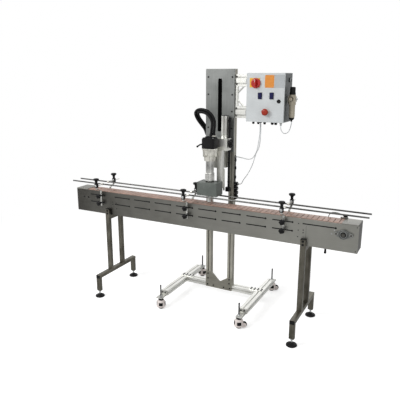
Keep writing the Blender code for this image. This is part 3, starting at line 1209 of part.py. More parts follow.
side_plate("front_side_plate", -1)
side_plate("rear_side_plate", 1)
chain_bed()
chain_loop()
sprocket_shaft("drive_shaft", AXLE_X, (-HALF_WIDTH - 0.024, HALF_WIDTH + 0.050))
sprocket_shaft("idler_shaft", -AXLE_X, (-HALF_WIDTH, HALF_WIDTH))
end_cover("drive_end_cover", 1)
end_cover("idler_end_cover", -1)
drive_bearing()
gearmotor()
for leg_name, leg_x in zip(("left_leg_frame", "right_leg_frame"), LEG_X):
    leg_frame(leg_name, leg_x)
levelling_feet()
rail_brackets("front", -1, FRONT_BRACKET_X)
rail_brackets("rear", 1, REAR_BRACKET_X)
guide_rail("front_guide_rail", -1, FRONT_BRACKET_X, ROD_PAST_FRONT_CLAMP)
guide_rail("rear_guide_rail", 1, REAR_BRACKET_X, ROD_PAST_REAR_CLAMP)
base_beam("left_base_beam", -1)
base_beam("right_base_beam", 1)
cross_beam()
column_post("left_post", -1)
column_post("right_post", 1)
base_gusset()
column_plate()
height_carriage()
head_bracket()
handwheel()
head_motor()
spindle_housing()
spindle_quill()
chuck()
guard_box()
head_hose()
cable_conduit()
cabinet()
cabinet_door()
door_controls()
cabinet_arms()
air_unit()
regulator_knob()
air_tubes()
valve_block()
casters()
centre_on_floor()
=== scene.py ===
import math
import bmesh
import bpy
import numpy as np
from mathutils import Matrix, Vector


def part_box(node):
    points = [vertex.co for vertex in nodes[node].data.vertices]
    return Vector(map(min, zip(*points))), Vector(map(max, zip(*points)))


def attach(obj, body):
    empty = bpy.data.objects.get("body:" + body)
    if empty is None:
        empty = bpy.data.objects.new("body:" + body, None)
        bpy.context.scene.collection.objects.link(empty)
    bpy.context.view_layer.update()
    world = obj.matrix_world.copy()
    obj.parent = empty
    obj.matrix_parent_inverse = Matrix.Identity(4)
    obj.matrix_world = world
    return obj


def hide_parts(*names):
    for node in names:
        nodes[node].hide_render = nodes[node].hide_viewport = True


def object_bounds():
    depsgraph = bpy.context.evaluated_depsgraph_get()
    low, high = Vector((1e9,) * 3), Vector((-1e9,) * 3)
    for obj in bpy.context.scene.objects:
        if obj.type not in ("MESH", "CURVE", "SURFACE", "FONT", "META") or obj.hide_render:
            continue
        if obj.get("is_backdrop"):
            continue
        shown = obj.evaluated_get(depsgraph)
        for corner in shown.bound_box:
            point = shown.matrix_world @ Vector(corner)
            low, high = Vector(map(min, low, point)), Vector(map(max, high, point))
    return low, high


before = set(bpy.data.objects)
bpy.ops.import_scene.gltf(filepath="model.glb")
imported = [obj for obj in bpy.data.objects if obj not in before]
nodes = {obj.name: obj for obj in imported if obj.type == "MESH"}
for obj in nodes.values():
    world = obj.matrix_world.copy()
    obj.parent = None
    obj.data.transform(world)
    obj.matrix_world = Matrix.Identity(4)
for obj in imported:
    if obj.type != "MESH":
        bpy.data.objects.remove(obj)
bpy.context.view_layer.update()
print("frame loaded:", len(nodes), "nodes")

low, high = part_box("slat_chain")
midY = (low.y + high.y) / 2  # the conveyor's centre line in metres
# every shape below is in millimetres, with y measured from the centre line; addPiece places it in the world


def cornersOf(node):
    low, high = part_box(node)
    return [(np.array(corner) - (0, midY, 0)) * 1000 for corner in (low, high)]


# colours and finishes

def linearOf(code):
    srgb = np.array([int(code[k:k + 2], 16) for k in (1, 3, 5)]) / 255
    rgb = np.where(srgb <= 0.04045, srgb / 12.92, ((srgb + 0.055) / 1.055) ** 2.4)
    return (*rgb.tolist(), 1.0)


def addNode(tree, kind, links=None, **settings):
    node = tree.nodes.new(kind)
    for key, value in settings.items():
        if key.startswith("in_"):
            node.inputs[int(key[3:])].default_value = value
        else:
            setattr(node, key, value)
    for socket, source in (links or {}).items():
        tree.links.new(source, node.inputs[socket])
    return node


# each row: dark and light colour, metallic share, roughness range, the pattern's size in millimetres along x, y and z,
# bump depth in millimetres, extras
finishTable = {
    # sheet with a long lengthwise brush line that pulls highlights into streaks; its colour also carries a painted
    # shade that darkens it towards the left end
    "brushedStainless": ("#66645e", "#8c8b85", 1, (0.34, 0.44), (260, 3, 1.6), 0.04,
                         dict(paintedShadeRamp=("#211f1d", "#92928c", -1.30, 0.80))),
    # welded square tube, brushed along its length, warm grey
    "stainlessTube": ("#47453d", "#737067", 1, (0.32, 0.46), (2, 2, 120), 0.05),
    # extruded bar whose die lines run along it under a satin clear film
    "clearAnodisedBar": ("#c6c6c0", "#dededa", 1, (0.34, 0.44), (2.5, 2.5, 90), 0.03),
    # the same film with die lines lying along the base beams
    "clearAnodisedBeam": ("#dadad5", "#eeeeea", 1, (0.34, 0.44), (3, 110, 3), 0.03),
    # turned spindle steel; painted reflections: its base colour runs in hard upright light and dark streaks
    "turnedSteel": ("#666664", "#ecece8", 1, (0.18, 0.28), (11, 11, 900), 0.02),
    # tumbled casting, bright, with grey upright patches in its base colour as painted reflections
    "castFunnel": ("#9d9b93", "#f2f1e8", 0.9, (0.24, 0.4), (9, 9, 60), 0.12),
    # bent cover; painted light and shade: the cover is lightened and its end face at the drive end painted near black
    # as shade
    "endCoverPaintedShade": ("#5c5b56", "#7b7a74", 0.6, (0.34, 0.46), (90, 3, 3), 0.04,
                      dict(paintedShadeRamp=("#8b8a84", "#0e0d0d", 1.209, 1.2186), specular=0.2)),
    # the chain's hinge barrels, dark partly from old lubricant and partly as painted shade in the seams between slats
    "shadedAcetal": ("#2f2420", "#4a3a33", 0, (0.5, 0.65), (5, 5, 5), 0.04, dict(specular=0.2)),
    # dense black brush hair that swallows light
    "bristle": ("#020202", "#060606", 0, (0.85, 0.95), (0.6, 0.6, 30), 0.05, dict(specular=0.03)),
    # the posts' extruded bar, coloured a warm mid grey darker than the other clear bars as painted shade, die lines
    # upright
    "shadedAnodisedBar": ("#97958a", "#b6b4a9", 0.6, (0.34, 0.44), (2.5, 2.5, 90), 0.03),
    # cut plate with a warm satin film and faint lengthwise lines
    "warmPlate": ("#7d7b72", "#97958b", 0.8, (0.36, 0.48), (60, 5, 5), 0.03),
    # bent sheet and turned flange, duller than the plates
    "coverStainless": ("#403f3b", "#5b5a55", 0.6, (0.36, 0.48), (90, 3, 3), 0.04, dict(specular=0.3)),
    # deep orange-red moulded mushroom head
    "signalRed": ("#8c2414", "#a5321c", 0, (0.3, 0.4), (5, 5, 5), 0.02, dict(specular=0.3)),
    # machined blocks with faint cutter lanes
    "milledAluminium": ("#a3a39f", "#c6c6c1", 1, (0.3, 0.42), (14, 3, 3), 0.04),
    # sand-cast skin, slightly grainy and soft in its gloss
    "castAluminium": ("#bcbab2", "#deddd5", 0.9, (0.26, 0.42), (2.2, 2.2, 2.2), 0.12),
    # bead-blasted plate, an even mid grey
    "satinPlate": ("#6b6d6b", "#808280", 0.75, (0.4, 0.5), (6, 6, 160), 0.03),
    # drawn rod with an oiled dark skin and bright lines along it
    "darkRod": ("#3a3a39", "#6c6c6a", 1, (0.2, 0.32), (60, 1.5, 1.5), 0.02),
    # the cabinet's side panel, coloured darker than the box: partly a darker coat, partly painted shade on that side
    "shadedCoat": ("#3f4444", "#4b5050", 0, (0.4, 0.5), (3, 3, 3), 0.05, dict(specular=0.3)),
    # centreless-ground round bar, bright with sharp reflections
    "groundSteel": ("#a9a9a7", "#d8d8d4", 1, (0.16, 0.26), (30, 1.5, 1.5), 0.02),
    # moulded chain resin, dull satin and dusty on top
    "brownAcetal": ("#8a6d5f", "#c3a293", 0, (0.38, 0.56), (21, 34, 9), 0.05, dict(wear=("#d6bfb2", 45))),
    # waxy wear strip
    "whitePolyethylene": ("#c9c9c4", "#deded9", 0, (0.45, 0.55), (30, 5, 5), 0.03),
    # light grey baked powder with a fine orange peel
    "powderCoat": ("#bdc1c2", "#c9cdce", 0, (0.4, 0.5), (3, 3, 3), 0.06),
    # dark grey-green sprayed hood with light rubs
    "darkEnamel": ("#525753", "#636864", 0, (0.36, 0.5), (5, 5, 5), 0.05, dict(wear=("#747974", 95), specular=0.3)),
    # glass-filled moulding, black with a fine spark texture
    "blackNylon": ("#0d0d0e", "#19191a", 0, (0.42, 0.58), (1.4, 1.4, 1.4), 0.06, dict(specular=0.15)),
    # sprayed motor shell, semi gloss
    "blackPaint": ("#0d0d0e", "#171718", 0, (0.3, 0.42), (4, 4, 4), 0.05, dict(specular=0.15)),
    # flexible ribbed hose, soft sheen on each ridge
    "blackPvc": ("#0c0c0d", "#171718", 0, (0.38, 0.5), (9, 9, 9), 0.02, dict(specular=0.15)),
    # oiled black screws
    "blackOxide": ("#1d1d1e", "#303031", 1, (0.38, 0.5), (2, 2, 2), 0.03),
    # bright plated fasteners
    "zincSteel": ("#a3a5a6", "#c5c6c5", 1, (0.24, 0.36), (2, 2, 2), 0.02),
    # glossy signal red moulding
    "redPlastic": ("#a51a14", "#bd2219", 0, (0.24, 0.34), (5, 5, 5), 0.02),
    # bare yellow switch backing plate
    "yellowLaminate": ("#d9a21c", "#e3b02c", 0, (0.36, 0.44), (6, 6, 6), 0.01),
    # bare orange panel
    "orangeLaminate": ("#cf7f27", "#dd9038", 0, (0.36, 0.44), (6, 6, 6), 0.01),
    # bare grey panel
    "greyLaminate": ("#a5a9ab", "#b2b6b8", 0, (0.36, 0.44), (6, 6, 6), 0.01),
    # dark blue window over an instrument, glossy
    "blueGlass": ("#10123a", "#171a52", 0, (0.3, 0.36), (12, 12, 12), 0, dict(specular=0.2)),
    # milky air tube that lets some light through
    "clearPolyurethane": ("#cdd1d3", "#dfe2e3", 0, (0.2, 0.3), (12, 12, 12), 0, dict(transmission=0.1)),
    # filter body and bowl, warm and slightly waxy
    "beigePolycarbonate": ("#a29a88", "#b9b19e", 0, (0.3, 0.42), (5, 5, 5), 0.03),
    # caster shell, off-white with a pink cast
    "paleNylon": ("#d5cbc7", "#e6ddd9", 0, (0.34, 0.46), (6, 6, 6), 0.04),
    # tyre and pads, matt and dusty
    "blackRubber": ("#19191a", "#272728", 0, (0.62, 0.78), (2, 2, 2), 0.08, dict(specular=0.15)),
    # enamelled gauge face
    "whiteDial": ("#d6d6d2", "#e2e2de", 0, (0.25, 0.32), (8, 8, 8), 0),
    # small bent clips and sensor arms
    "bareSheet": ("#a8a8a3", "#bcbcb7", 1, (0.32, 0.42), (3, 40, 3), 0.02),
}


def makeFinish(name, dark, light, metallic, rough, grain, bump, extras=None):
    more = dict(wear=None, paintedShadeRamp=None, transmission=0, specular=0.5) | (extras or {})
    made = bpy.data.materials.new(name)
    made.use_nodes = True
    tree = made.node_tree
    shader = tree.nodes["Principled BSDF"]
    shader.inputs["Metallic"].default_value = metallic
    shader.inputs["Transmission Weight"].default_value = more["transmission"]
    shader.inputs["Specular IOR Level"].default_value = more["specular"]
    place = addNode(tree, "ShaderNodeTexCoord")
    stretch = addNode(tree, "ShaderNodeMapping", {"Vector": place.outputs["Object"]},
                      in_3=tuple(1000 / g for g in grain))
    # patches of about 110 mm
    broad = addNode(tree, "ShaderNodeTexNoise", {"Vector": place.outputs["Object"]}, in_2=9.0, in_3=3.0)
    fine = addNode(tree, "ShaderNodeTexNoise", {"Vector": stretch.outputs["Vector"]}, in_2=1.0, in_3=4.0, in_4=0.6)
    both = addNode(tree, "ShaderNodeMath", {0: fine.outputs["Fac"], 1: broad.outputs["Fac"]}, operation="ADD")
    share = addNode(tree, "ShaderNodeMapRange", {0: both.outputs[0]}, in_1=0.72, in_2=1.28)
    tint = addNode(tree, "ShaderNodeMix", {0: share.outputs[0]}, data_type="RGBA", in_6=linearOf(dark),
                   in_7=linearOf(light))
    colour = tint.outputs[2]
    if more["paintedShadeRamp"]:
        near, far, first, last = more["paintedShadeRamp"]  # painted light and shade: the sheet's tone drifts along x between two colours
        axes = addNode(tree, "ShaderNodeSeparateXYZ", {0: place.outputs["Object"]})
        along = addNode(tree, "ShaderNodeMapRange", {0: axes.outputs["X"]}, in_1=first, in_2=last)
        paintedShadeTone = addNode(tree, "ShaderNodeMix", {0: along.outputs[0]}, data_type="RGBA", in_6=linearOf(near),
                        in_7=linearOf(far))
        mixed = addNode(tree, "ShaderNodeMix", {6: paintedShadeTone.outputs[2], 7: colour}, data_type="RGBA", in_0=0.28)
        colour = mixed.outputs[2]
    if more["wear"]:
        lift, size = more["wear"]  # rubs: thin light patches where a second, sharper noise peaks
        rub = addNode(tree, "ShaderNodeTexNoise", {"Vector": place.outputs["Object"]}, in_2=1000 / size, in_3=8.0,
                      in_4=0.7)
        gate = addNode(tree, "ShaderNodeMapRange", {0: rub.outputs["Fac"]}, in_1=0.56, in_2=0.70, in_4=0.55)
        worn = addNode(tree, "ShaderNodeMix", {0: gate.outputs[0], 6: colour}, data_type="RGBA", in_7=linearOf(lift))
        colour = worn.outputs[2]
    tree.links.new(colour, shader.inputs["Base Color"])
    gloss = addNode(tree, "ShaderNodeMapRange", {0: fine.outputs["Fac"]}, in_1=0.3, in_2=0.7, in_3=rough[0],
                    in_4=rough[1])
    tree.links.new(gloss.outputs[0], shader.inputs["Roughness"])
    if bump:
        relief = addNode(tree, "ShaderNodeBump", {"Height": fine.outputs["Fac"]}, in_0=0.5, in_1=bump / 1000)
        tree.links.new(relief.outputs["Normal"], shader.inputs["Normal"])
    return made


finishes = {name: makeFinish(name, *row) for name, row in finishTable.items()}
print("finishes made:", len(finishes))


# surfaces: a shape is a pair of its points and its faces

up, down, toFront, toRight = (0, 0, 1), (0, 0, -1), (0, -1, 0), (1, 0, 0)


def gridFaces(rows, columns, closedRows=False):
    # quads between neighbouring points of a grid whose rows are rings
    a, b = np.meshgrid(np.arange(rows - (not closedRows)), np.arange(columns), indexing="ij")
    c, d = (a + 1) % rows, (b + 1) % columns
    return np.stack([a * columns + b, a * columns + d, c * columns + d, c * columns + b], -1).reshape(-1, 4).tolist()


def basisOf(axis):
    w = np.array(axis, float)
    w /= np.linalg.norm(w)
    u = np.cross(w, (0, 0, 1) if abs(w[2]) < 0.9 else (1, 0, 0))
    u /= np.linalg.norm(u)
    return u, np.cross(w, u), w


def lathe(profile, centre, axis=up, steps=48, closed=False, lobes=0, depth=0.0):
    # point = centre + r(s)(1 + depth cos(lobes t))(u cos t + v sin t) + h(s) w, with u, v, w square to each other
    r, h = np.array(profile, float).T
    u, v, w = basisOf(axis)
    t = np.arange(steps) * 2 * np.pi / steps
    wave = 1 + depth * np.cos(lobes * t)
    ring = np.cos(t)[:, None] * u + np.sin(t)[:, None] * v
    points = np.array(centre) + (r[:, None] * wave)[..., None] * ring + h[:, None, None] * w
    return points.reshape(-1, 3), gridFaces(len(r), steps, closed)


def plainDisc(radius, low, high, centre, axis, steps):
    return lathe(((0, low), (radius, low), (radius, high), (0, high)), centre, axis, steps)


def roundBar(centre, axis, radius, low, high, ease=0.8):
    # a round bar with a small chamfer at both ends
    profile = ((0, low), (radius - ease, low), (radius, low + ease), (radius, high - ease), (radius - ease, high),
               (0, high))
    return lathe(profile, centre, axis, 28)


def prism(loop, plane, low, high):
    # the flat loop carried straight along the third axis, with both ends closed
    flat = np.array(loop, float)
    order = {"xy": (0, 1, 2), "xz": (0, 2, 1), "yz": (1, 2, 0)}[plane]
    points = np.zeros((2, len(flat), 3))
    points[..., order[0]] = flat[:, 0]
    points[..., order[1]] = flat[:, 1]
    points[0, :, order[2]], points[1, :, order[2]] = low, high
    count = len(flat)
    return points.reshape(-1, 3), gridFaces(2, count) + [list(range(count)), list(range(count, 2 * count))]


def roundRect(x, y, radius, steps=5):
    # a rectangle whose corners are quarter circles
    t = np.linspace(0, np.pi / 2, steps)
    corners = ((x[1] - radius, y[1] - radius, 0), (x[0] + radius, y[1] - radius, 1),
               (x[0] + radius, y[0] + radius, 2), (x[1] - radius, y[0] + radius, 3))
    turns = [(a, b, t + quarter * np.pi / 2) for a, b, quarter in corners]
    return np.concatenate([np.stack([a + radius * np.cos(u), b + radius * np.sin(u)], 1) for a, b, u in turns])


def slab(low, high, radius, along="xy"):
    # a rounded rectangle carried between two heights
    i, j, k = {"xy": (0, 1, 2), "xz": (0, 2, 1), "yz": (1, 2, 0)}[along]
    return prism(roundRect((low[i], high[i]), (low[j], high[j]), radius), along, low[k], high[k])


def tSlotLoop(middle, size, counts=(1, 1)):
    # the section of an extruded bar: on every module face a narrow mouth opens into a wide pocket
    half, lip, pocket, root = np.array(size) / 2, 4.1, 9.2, 4.5
    mouth, shoulder, deepest = 4.5, 9.5, 14
    steps = ((-lip, 0), (-lip, mouth), (-pocket, mouth), (-pocket, shoulder), (-root, deepest), (root, deepest),
             (pocket, shoulder), (pocket, mouth), (lip, mouth), (lip, 0))
    loop = []
    for side, (a, b) in enumerate(((-1, -1), (1, -1), (1, 1), (-1, 1))):
        along = side % 2
        way = 1 if side < 2 else -1
        loop.append((a * half[0], b * half[1]))
        for k in range(counts[along]):
            at = way * (-half[along] + size[along] / counts[along] * (k + 0.5))
            for offset, deep in steps:
                across = (b if along == 0 else a) * (half[1 - along] - deep)
                loop.append((at + way * offset, across) if along == 0 else (across, at + way * offset))
    return np.array(loop) + np.array(middle)


def curveThrough(points, count):
    # evenly spaced points on a cubic through the given ones, each span leaving and arriving along its
    # neighbours' chord
    p = np.array(points, float)
    p = np.concatenate([[2 * p[0] - p[1]], p, [2 * p[-1] - p[-2]]])
    t = np.linspace(0, len(points) - 1 - 1e-9, 60 * len(points))
    k = t.astype(int)
    f = (t - k)[:, None]
    a, b, c, d = p[k], p[k + 1], p[k + 2], p[k + 3]
    fine = 0.5 * (2 * b + (c - a) * f + (2 * a - 5 * b + 4 * c - d) * f ** 2 + (3 * b - a - 3 * c + d) * f ** 3)
    run = np.concatenate([[0], np.cumsum(np.linalg.norm(np.diff(fine, axis=0), axis=1))])
    even = np.linspace(0, run[-1], count)
    return np.stack([np.interp(even, run, fine[:, axis]) for axis in range(3)], 1)


def lengthOf(path):
    return float(np.linalg.norm(np.diff(path, axis=0), axis=1).sum())


def sweep(path, radius, sides=20, reference=None):
    # circles of radius r(s) square to the path; the first direction is kept square to the reference vector
    path = np.array(path, float)
    tangent = np.gradient(path, axis=0)
    tangent /= np.linalg.norm(tangent, axis=1)[:, None]
    if reference is None:
        reference = np.linalg.svd(path - path.mean(0), full_matrices=False)[2][2]
    across = np.cross(reference, tangent)
    across /= np.linalg.norm(across, axis=1)[:, None]
    other = np.cross(tangent, across)
    t = np.arange(sides) * 2 * np.pi / sides
    ring = np.cos(t)[None, :, None] * across[:, None] + np.sin(t)[None, :, None] * other[:, None]
    points = path[:, None] + np.broadcast_to(radius, len(path))[:, None, None] * ring
    last = (len(path) - 1) * sides
    return points.reshape(-1, 3), gridFaces(len(path), sides) + [list(range(sides)), list(range(last, last + sides))]


def moved(shape, offset):
    return shape[0] + np.array(offset), shape[1]


def turnedRound(shape, degrees, about=(0, 0, 0)):
    # the shape turned about the upright line through a point
    a = math.radians(degrees)
    matrix = np.array(((math.cos(a), -math.sin(a), 0), (math.sin(a), math.cos(a), 0), (0, 0, 1)))
    return (shape[0] - about) @ matrix.T + about, shape[1]


def addPiece(name, body, shapes, bevel=0.0, sharp=38, standsFor=(), segments=2):
    # shapes is a list of (shape, finish name); all of them become one mesh in its place
    names = list(dict.fromkeys(finish for _, finish in shapes))
    points, faces, index, start = [], [], [], 0
    for (cloud, polygons), finish in shapes:
        points.append(cloud)
        faces += [[v + start for v in polygon] for polygon in polygons]
        index += [names.index(finish)] * len(polygons)
        start += len(cloud)
    cloud = np.concatenate(points) / 1000 + (0, midY, 0)
    mesh = bpy.data.meshes.new(name)
    mesh.from_pydata(cloud.tolist(), [], faces)
    mesh.polygons.foreach_set("material_index", np.array(index, np.int32))
    for finish in names:
        mesh.materials.append(finishes[finish])
    bm = bmesh.new()
    bm.from_mesh(mesh)
    bmesh.ops.remove_doubles(bm, verts=bm.verts, dist=0.0000015)
    bmesh.ops.recalc_face_normals(bm, faces=bm.faces)
    bm.to_mesh(mesh)
    bm.free()
    mesh.shade_smooth()
    mesh.set_sharp_from_angle(angle=math.radians(sharp))
    return settle(bpy.data.objects.new(name, mesh), body, bevel, standsFor, segments)


def settle(piece, body, bevel=0.0, standsFor=(), segments=2):
    bpy.context.scene.collection.objects.link(piece)
    if bevel:
        edge = piece.modifiers.new("edges", "BEVEL")
        edge.width, edge.segments = bevel / 1000, segments
        edge.limit_method, edge.angle_limit = "ANGLE", math.radians(45)
        edge.harden_normals = False
    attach(piece, body)
    if standsFor:
        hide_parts(*standsFor)
    return piece


def softened(node, finish, body, bevel):
    # the node's own faces, merged and freed of flat seams, with every edge eased
    mesh = nodes[node].data.copy()
    mesh.materials.clear()
    mesh.materials.append(finishes[finish])
    bm = bmesh.new()
    bm.from_mesh(mesh)
    bmesh.ops.remove_doubles(bm, verts=bm.verts, dist=0.00001)
    bmesh.ops.dissolve_limit(bm, angle_limit=0.004, verts=bm.verts, edges=bm.edges)
    bm.to_mesh(mesh)
    bm.free()
    mesh.polygons.foreach_set("material_index", np.zeros(len(mesh.polygons), np.int32))
    mesh.shade_smooth()
    mesh.set_sharp_from_angle(angle=math.radians(35))
    name = "".join(word.capitalize() if k else word for k, word in enumerate(node.split("_")))
    return settle(bpy.data.objects.new(name, mesh), body, bevel, (node,))


def screwHead(centre, axis, radius, height, finish="blackOxide"):
    # a cap screw: a turned head with a round recess in its end
    profile = ((0, 0), (radius, 0), (radius, height * 0.85), (radius * 0.88, height), (radius * 0.5, height),
               (radius * 0.45, height * 0.45), (0, height * 0.45))
    return lathe(profile, centre, axis, 18), finish


def hexHead(centre, axis, radius, height, finish="zincSteel"):
    profile = ((0, 0), (radius, 0), (radius, height * 0.8), (radius * 0.86, height), (0, height))
    return lathe(profile, centre, axis, 6), finish


def threaded(radius, low, high, pitch=2.2, ridge=0.5):
    # the radius of a stud rises and falls once a pitch
    count = max(3, int((high - low) / pitch) * 2)
    h = np.linspace(low, high, count)
    r = radius - ridge * (np.arange(count) % 2)
    return [(0, low), *zip(r, h), (0, high)]


# camera, light and floor

view = dict(lens=43.335, place=(1.6925, -3.27875, 1.8717), pitch=75.449, yaw=27.541)
camera = bpy.data.objects.new("camera", bpy.data.cameras.new("camera"))
camera.data.lens = view["lens"]
camera.data.sensor_width = 36
camera.location = (view["place"][0], view["place"][1] + midY, view["place"][2])
camera.rotation_euler = (math.radians(view["pitch"]), 0, math.radians(view["yaw"]))
bpy.context.scene.collection.objects.link(camera)
bpy.context.scene.camera = camera

studio = dict(ambient=0.50, key=130, fill=14, back=22, whiteFrom=1.7, whiteTo=3.6)
world = bpy.data.worlds.new("studio")
bpy.context.scene.world = world
world.use_nodes = True
sky = world.node_tree
sky.nodes.clear()
rays = addNode(sky, "ShaderNodeLightPath")
seen = addNode(sky, "ShaderNodeMath", {0: rays.outputs["Is Camera Ray"], 1: rays.outputs["Is Transmission Ray"]},
               operation="MAXIMUM")
seen = addNode(sky, "ShaderNodeMath", {0: seen.outputs[0], 1: rays.outputs["Is Glossy Ray"]}, operation="MAXIMUM")
white = addNode(sky, "ShaderNodeBackground", in_0=(1, 1, 1, 1), in_1=1.0)
soft = addNode(sky, "ShaderNodeBackground", in_0=(1, 1, 1, 1), in_1=studio["ambient"])
choose = addNode(sky, "ShaderNodeMixShader", {0: seen.outputs[0], 1: soft.outputs[0], 2: white.outputs[0]})
addNode(sky, "ShaderNodeOutputWorld", {"Surface": choose.outputs[0]})


def softLamp(name, place, aim, size, power):
    lamp = bpy.data.objects.new(name, bpy.data.lights.new(name, "AREA"))
    lamp.data.shape = "SQUARE"
    lamp.data.size = size
    lamp.data.energy = power
    lamp.location = place
    way = np.array(aim, float) - place
    across, tilt = math.atan2(-way[0], way[1]), math.atan2(math.hypot(way[0], way[1]), -way[2])
    lamp.rotation_euler = (tilt, 0, across)
    bpy.context.scene.collection.objects.link(lamp)


softLamp("keyLamp", (-2.2, -3.2, 3.6), (0, 0, 0.8), 2.4, studio["key"])
softLamp("fillLamp", (3.2, -2.6, 2.4), (0, 0, 0.8), 2.4, studio["fill"])
softLamp("backLamp", (0.6, 3.4, 3.2), (0, 0, 0.9), 2.4, studio["back"])

floorMaterial = bpy.data.materials.new("paleFloor")
floorMaterial.use_nodes = True
ground = floorMaterial.node_tree
ground.nodes.clear()
rays = addNode(ground, "ShaderNodeLightPath")
matt = addNode(ground, "ShaderNodeBsdfDiffuse", in_0=(0.86, 0.86, 0.86, 1))
glow = addNode(ground, "ShaderNodeEmission", in_0=(1, 1, 1, 1), in_1=0.50)
lit = addNode(ground, "ShaderNodeAddShader", {0: matt.outputs[0], 1: glow.outputs[0]})
place = addNode(ground, "ShaderNodeTexCoord")
far = addNode(ground, "ShaderNodeVectorMath", {0: place.outputs["Object"]}, operation="LENGTH")
fade = addNode(ground, "ShaderNodeMapRange", {0: far.outputs["Value"]}, in_1=studio["whiteFrom"],
               in_2=studio["whiteTo"], interpolation_type="SMOOTHSTEP")
plain = addNode(ground, "ShaderNodeEmission", in_0=(1, 1, 1, 1), in_1=1.0)
backdrop = addNode(ground, "ShaderNodeMixShader", {0: fade.outputs[0], 1: lit.outputs[0], 2: plain.outputs[0]})
choose = addNode(ground, "ShaderNodeMixShader", {0: rays.outputs["Is Camera Ray"], 1: matt.outputs[0],
                                                 2: backdrop.outputs[0]})
addNode(ground, "ShaderNodeOutputMaterial", {"Surface": choose.outputs[0]})
t = np.arange(64) * 2 * np.pi / 64
disc = np.stack([9 * np.cos(t), 9 * np.sin(t), np.full(64, -0.0005)], 1)
floorMesh = bpy.data.meshes.new("floor")
floorMesh.from_pydata(disc.tolist(), [], [list(range(64))])
floorMesh.materials.append(floorMaterial)
floor = bpy.data.objects.new("floor", floorMesh)
bpy.context.scene.collection.objects.link(floor)
floor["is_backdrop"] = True
bpy.context.scene.view_settings.view_transform = "Standard"
print("camera, light and floor ready")


# hoses and air tubes, which come first because they take up room

columnLow = cornersOf("column_plate")[0]
postLow, postHigh = cornersOf("left_post")
# the pair lies side by side across the facing direction
hose = dict(diameter=22, spread=10.3, pitch=5.2, ridge=1, facing=(-0.45, 0.87, -0.20))
hoseX, hoseZ = 89, cornersOf("head_motor")[1][2] + 0.3
edgeX, backY = columnLow[0], postHigh[1] + 30.5
bossX, bossZ = 28, 1377
hosePoints = ((hoseX, 0, hoseZ), (hoseX, 0, hoseZ + 22), (hoseX + 5, 2, hoseZ + 70), (hoseX + 1, 8, hoseZ + 115),
              (hoseX - 33, 22, hoseZ + 157), (hoseX - 87, 45, hoseZ + 180), (hoseX - 150, 75, hoseZ + 181),
              (hoseX - 187, 100, hoseZ + 161), (hoseX - 194, 140, hoseZ + 119), (edgeX - 30, 185, hoseZ + 73),
              (edgeX - 23, 235, hoseZ + 30), (edgeX - 14, backY - 12, bossZ + 18),
              (edgeX + 14, backY, bossZ + 4), (bossX - 40, backY, bossZ), (bossX, backY, bossZ))


def headHoses():
    # two ribbed hoses side by side: the radius is r + ridge cos(2 pi s / pitch) along the run s
    middle = curveThrough(hosePoints, 900)
    normal = np.array(hose["facing"])
    tangent = np.gradient(middle, axis=0)
    across = np.cross(normal, tangent)
    across /= np.linalg.norm(across, axis=1)[:, None]
    for name, side in (("headHoseOuter", -1), ("headHoseInner", 1)):
        path = middle + across * side * hose["spread"]
        run = np.linspace(0, lengthOf(path), len(path))
        radius = hose["diameter"] / 2 - hose["ridge"] + hose["ridge"] * np.cos(2 * np.pi * run / hose["pitch"])
        piece = addPiece(name, "carriage", [(sweep(path, radius, 20, normal), "blackPvc")], sharp=80,
                         standsFor=("head_hose",))
        for end, way, label in ((path[0], path[1] - path[0], "Foot"), (path[-1], path[-2] - path[-1], "Tail")):
            ring = lathe(((0, 0), (14.5, 0), (14.5, 10), (12.5, 13), (12.5, 20), (10.8, 22), (0, 22)),
                         end - way / np.linalg.norm(way) * 1, way, 24)
            addPiece(name + label, "carriage", [(ring, "blackNylon")])


headHoses()

unit = dict(x=662.3, y=115, half=26, top=1737, outlet=1547.7)
gland = dict(x=604, y=55, roof=1543, end=1521)
valves = dict(left=180.8, y=227.6, high=1240.2, low=1020.7, pitch=36, count=4)
tubeRadius = 3


def airTubes():
    unitX, unitY, start = unit["x"], unit["y"], unit["outlet"]
    glandX, glandY, glandEnd = gland["x"], gland["y"], gland["end"]
    loop = ((unitX, unitY, start), (unitX, unitY, start - 18), (unitX - 8, unitY - 7, start - 56),
            (unitX - 20, unitY - 18, start - 78),
            (unitX - 41, unitY - 34, start - 83), (glandX + 3, glandY + 10, glandEnd - 36),
            (glandX, glandY, glandEnd - 16), (glandX, glandY, glandEnd - 6), (glandX, glandY, glandEnd + 2))
    x, y, roof = 430, 110, 1542.7
    high, low = valves["high"], valves["low"]
    face, middle = valves["left"] + 12, valves["y"]
    upper = ((x - 3.1, y, roof), (x - 3.1, y + 2, roof - 74), (x - 12, y + 6, roof - 149),
             (x - 28, y + 16, roof - 222),
             (x - 64, y + 43, roof - 279), (x - 98, y + 60, roof - 301), (x - 136, y + 75, roof - 305),
             (face + 62, middle - 22, high - 1), (face + 18, middle, high), (face - 2, middle, high))
    face += 26
    lower = ((x + 3.1, y, roof), (x + 3.1, y + 2, roof - 74), (x - 4, y + 14, roof - 149),
             (x - 19, y + 30, roof - 205),
             (x - 46, y + 45, roof - 254), (x - 78, y + 60, roof - 342), (x - 118, y + 77, roof - 416),
             (x - 160, y + 94, roof - 472), (face + 20, middle - 2, low + 6), (face - 2, middle, low))
    for name, points, node in (("airTubeLoop", loop, "air_tube_loop"), ("columnTubeUpper", upper, "column_air_tubes"),
                               ("columnTubeLower", lower, "column_air_tubes")):
        path = curveThrough(points, 90)
        piece = addPiece(name, "frame", [(sweep(path, tubeRadius, 16), "clearPolyurethane")],
                         sharp=80, standsFor=(node,))
    sleeve = slab((x - 11, y - 6, roof - 12), (x + 11, y + 6, roof + 1), 5)
    addPiece("columnTubeSleeve", "frame", [(sleeve, "blackNylon")], 0.8)


airTubes()

lead = dict(x=966, y=112, top=778, end=632, radius=3)


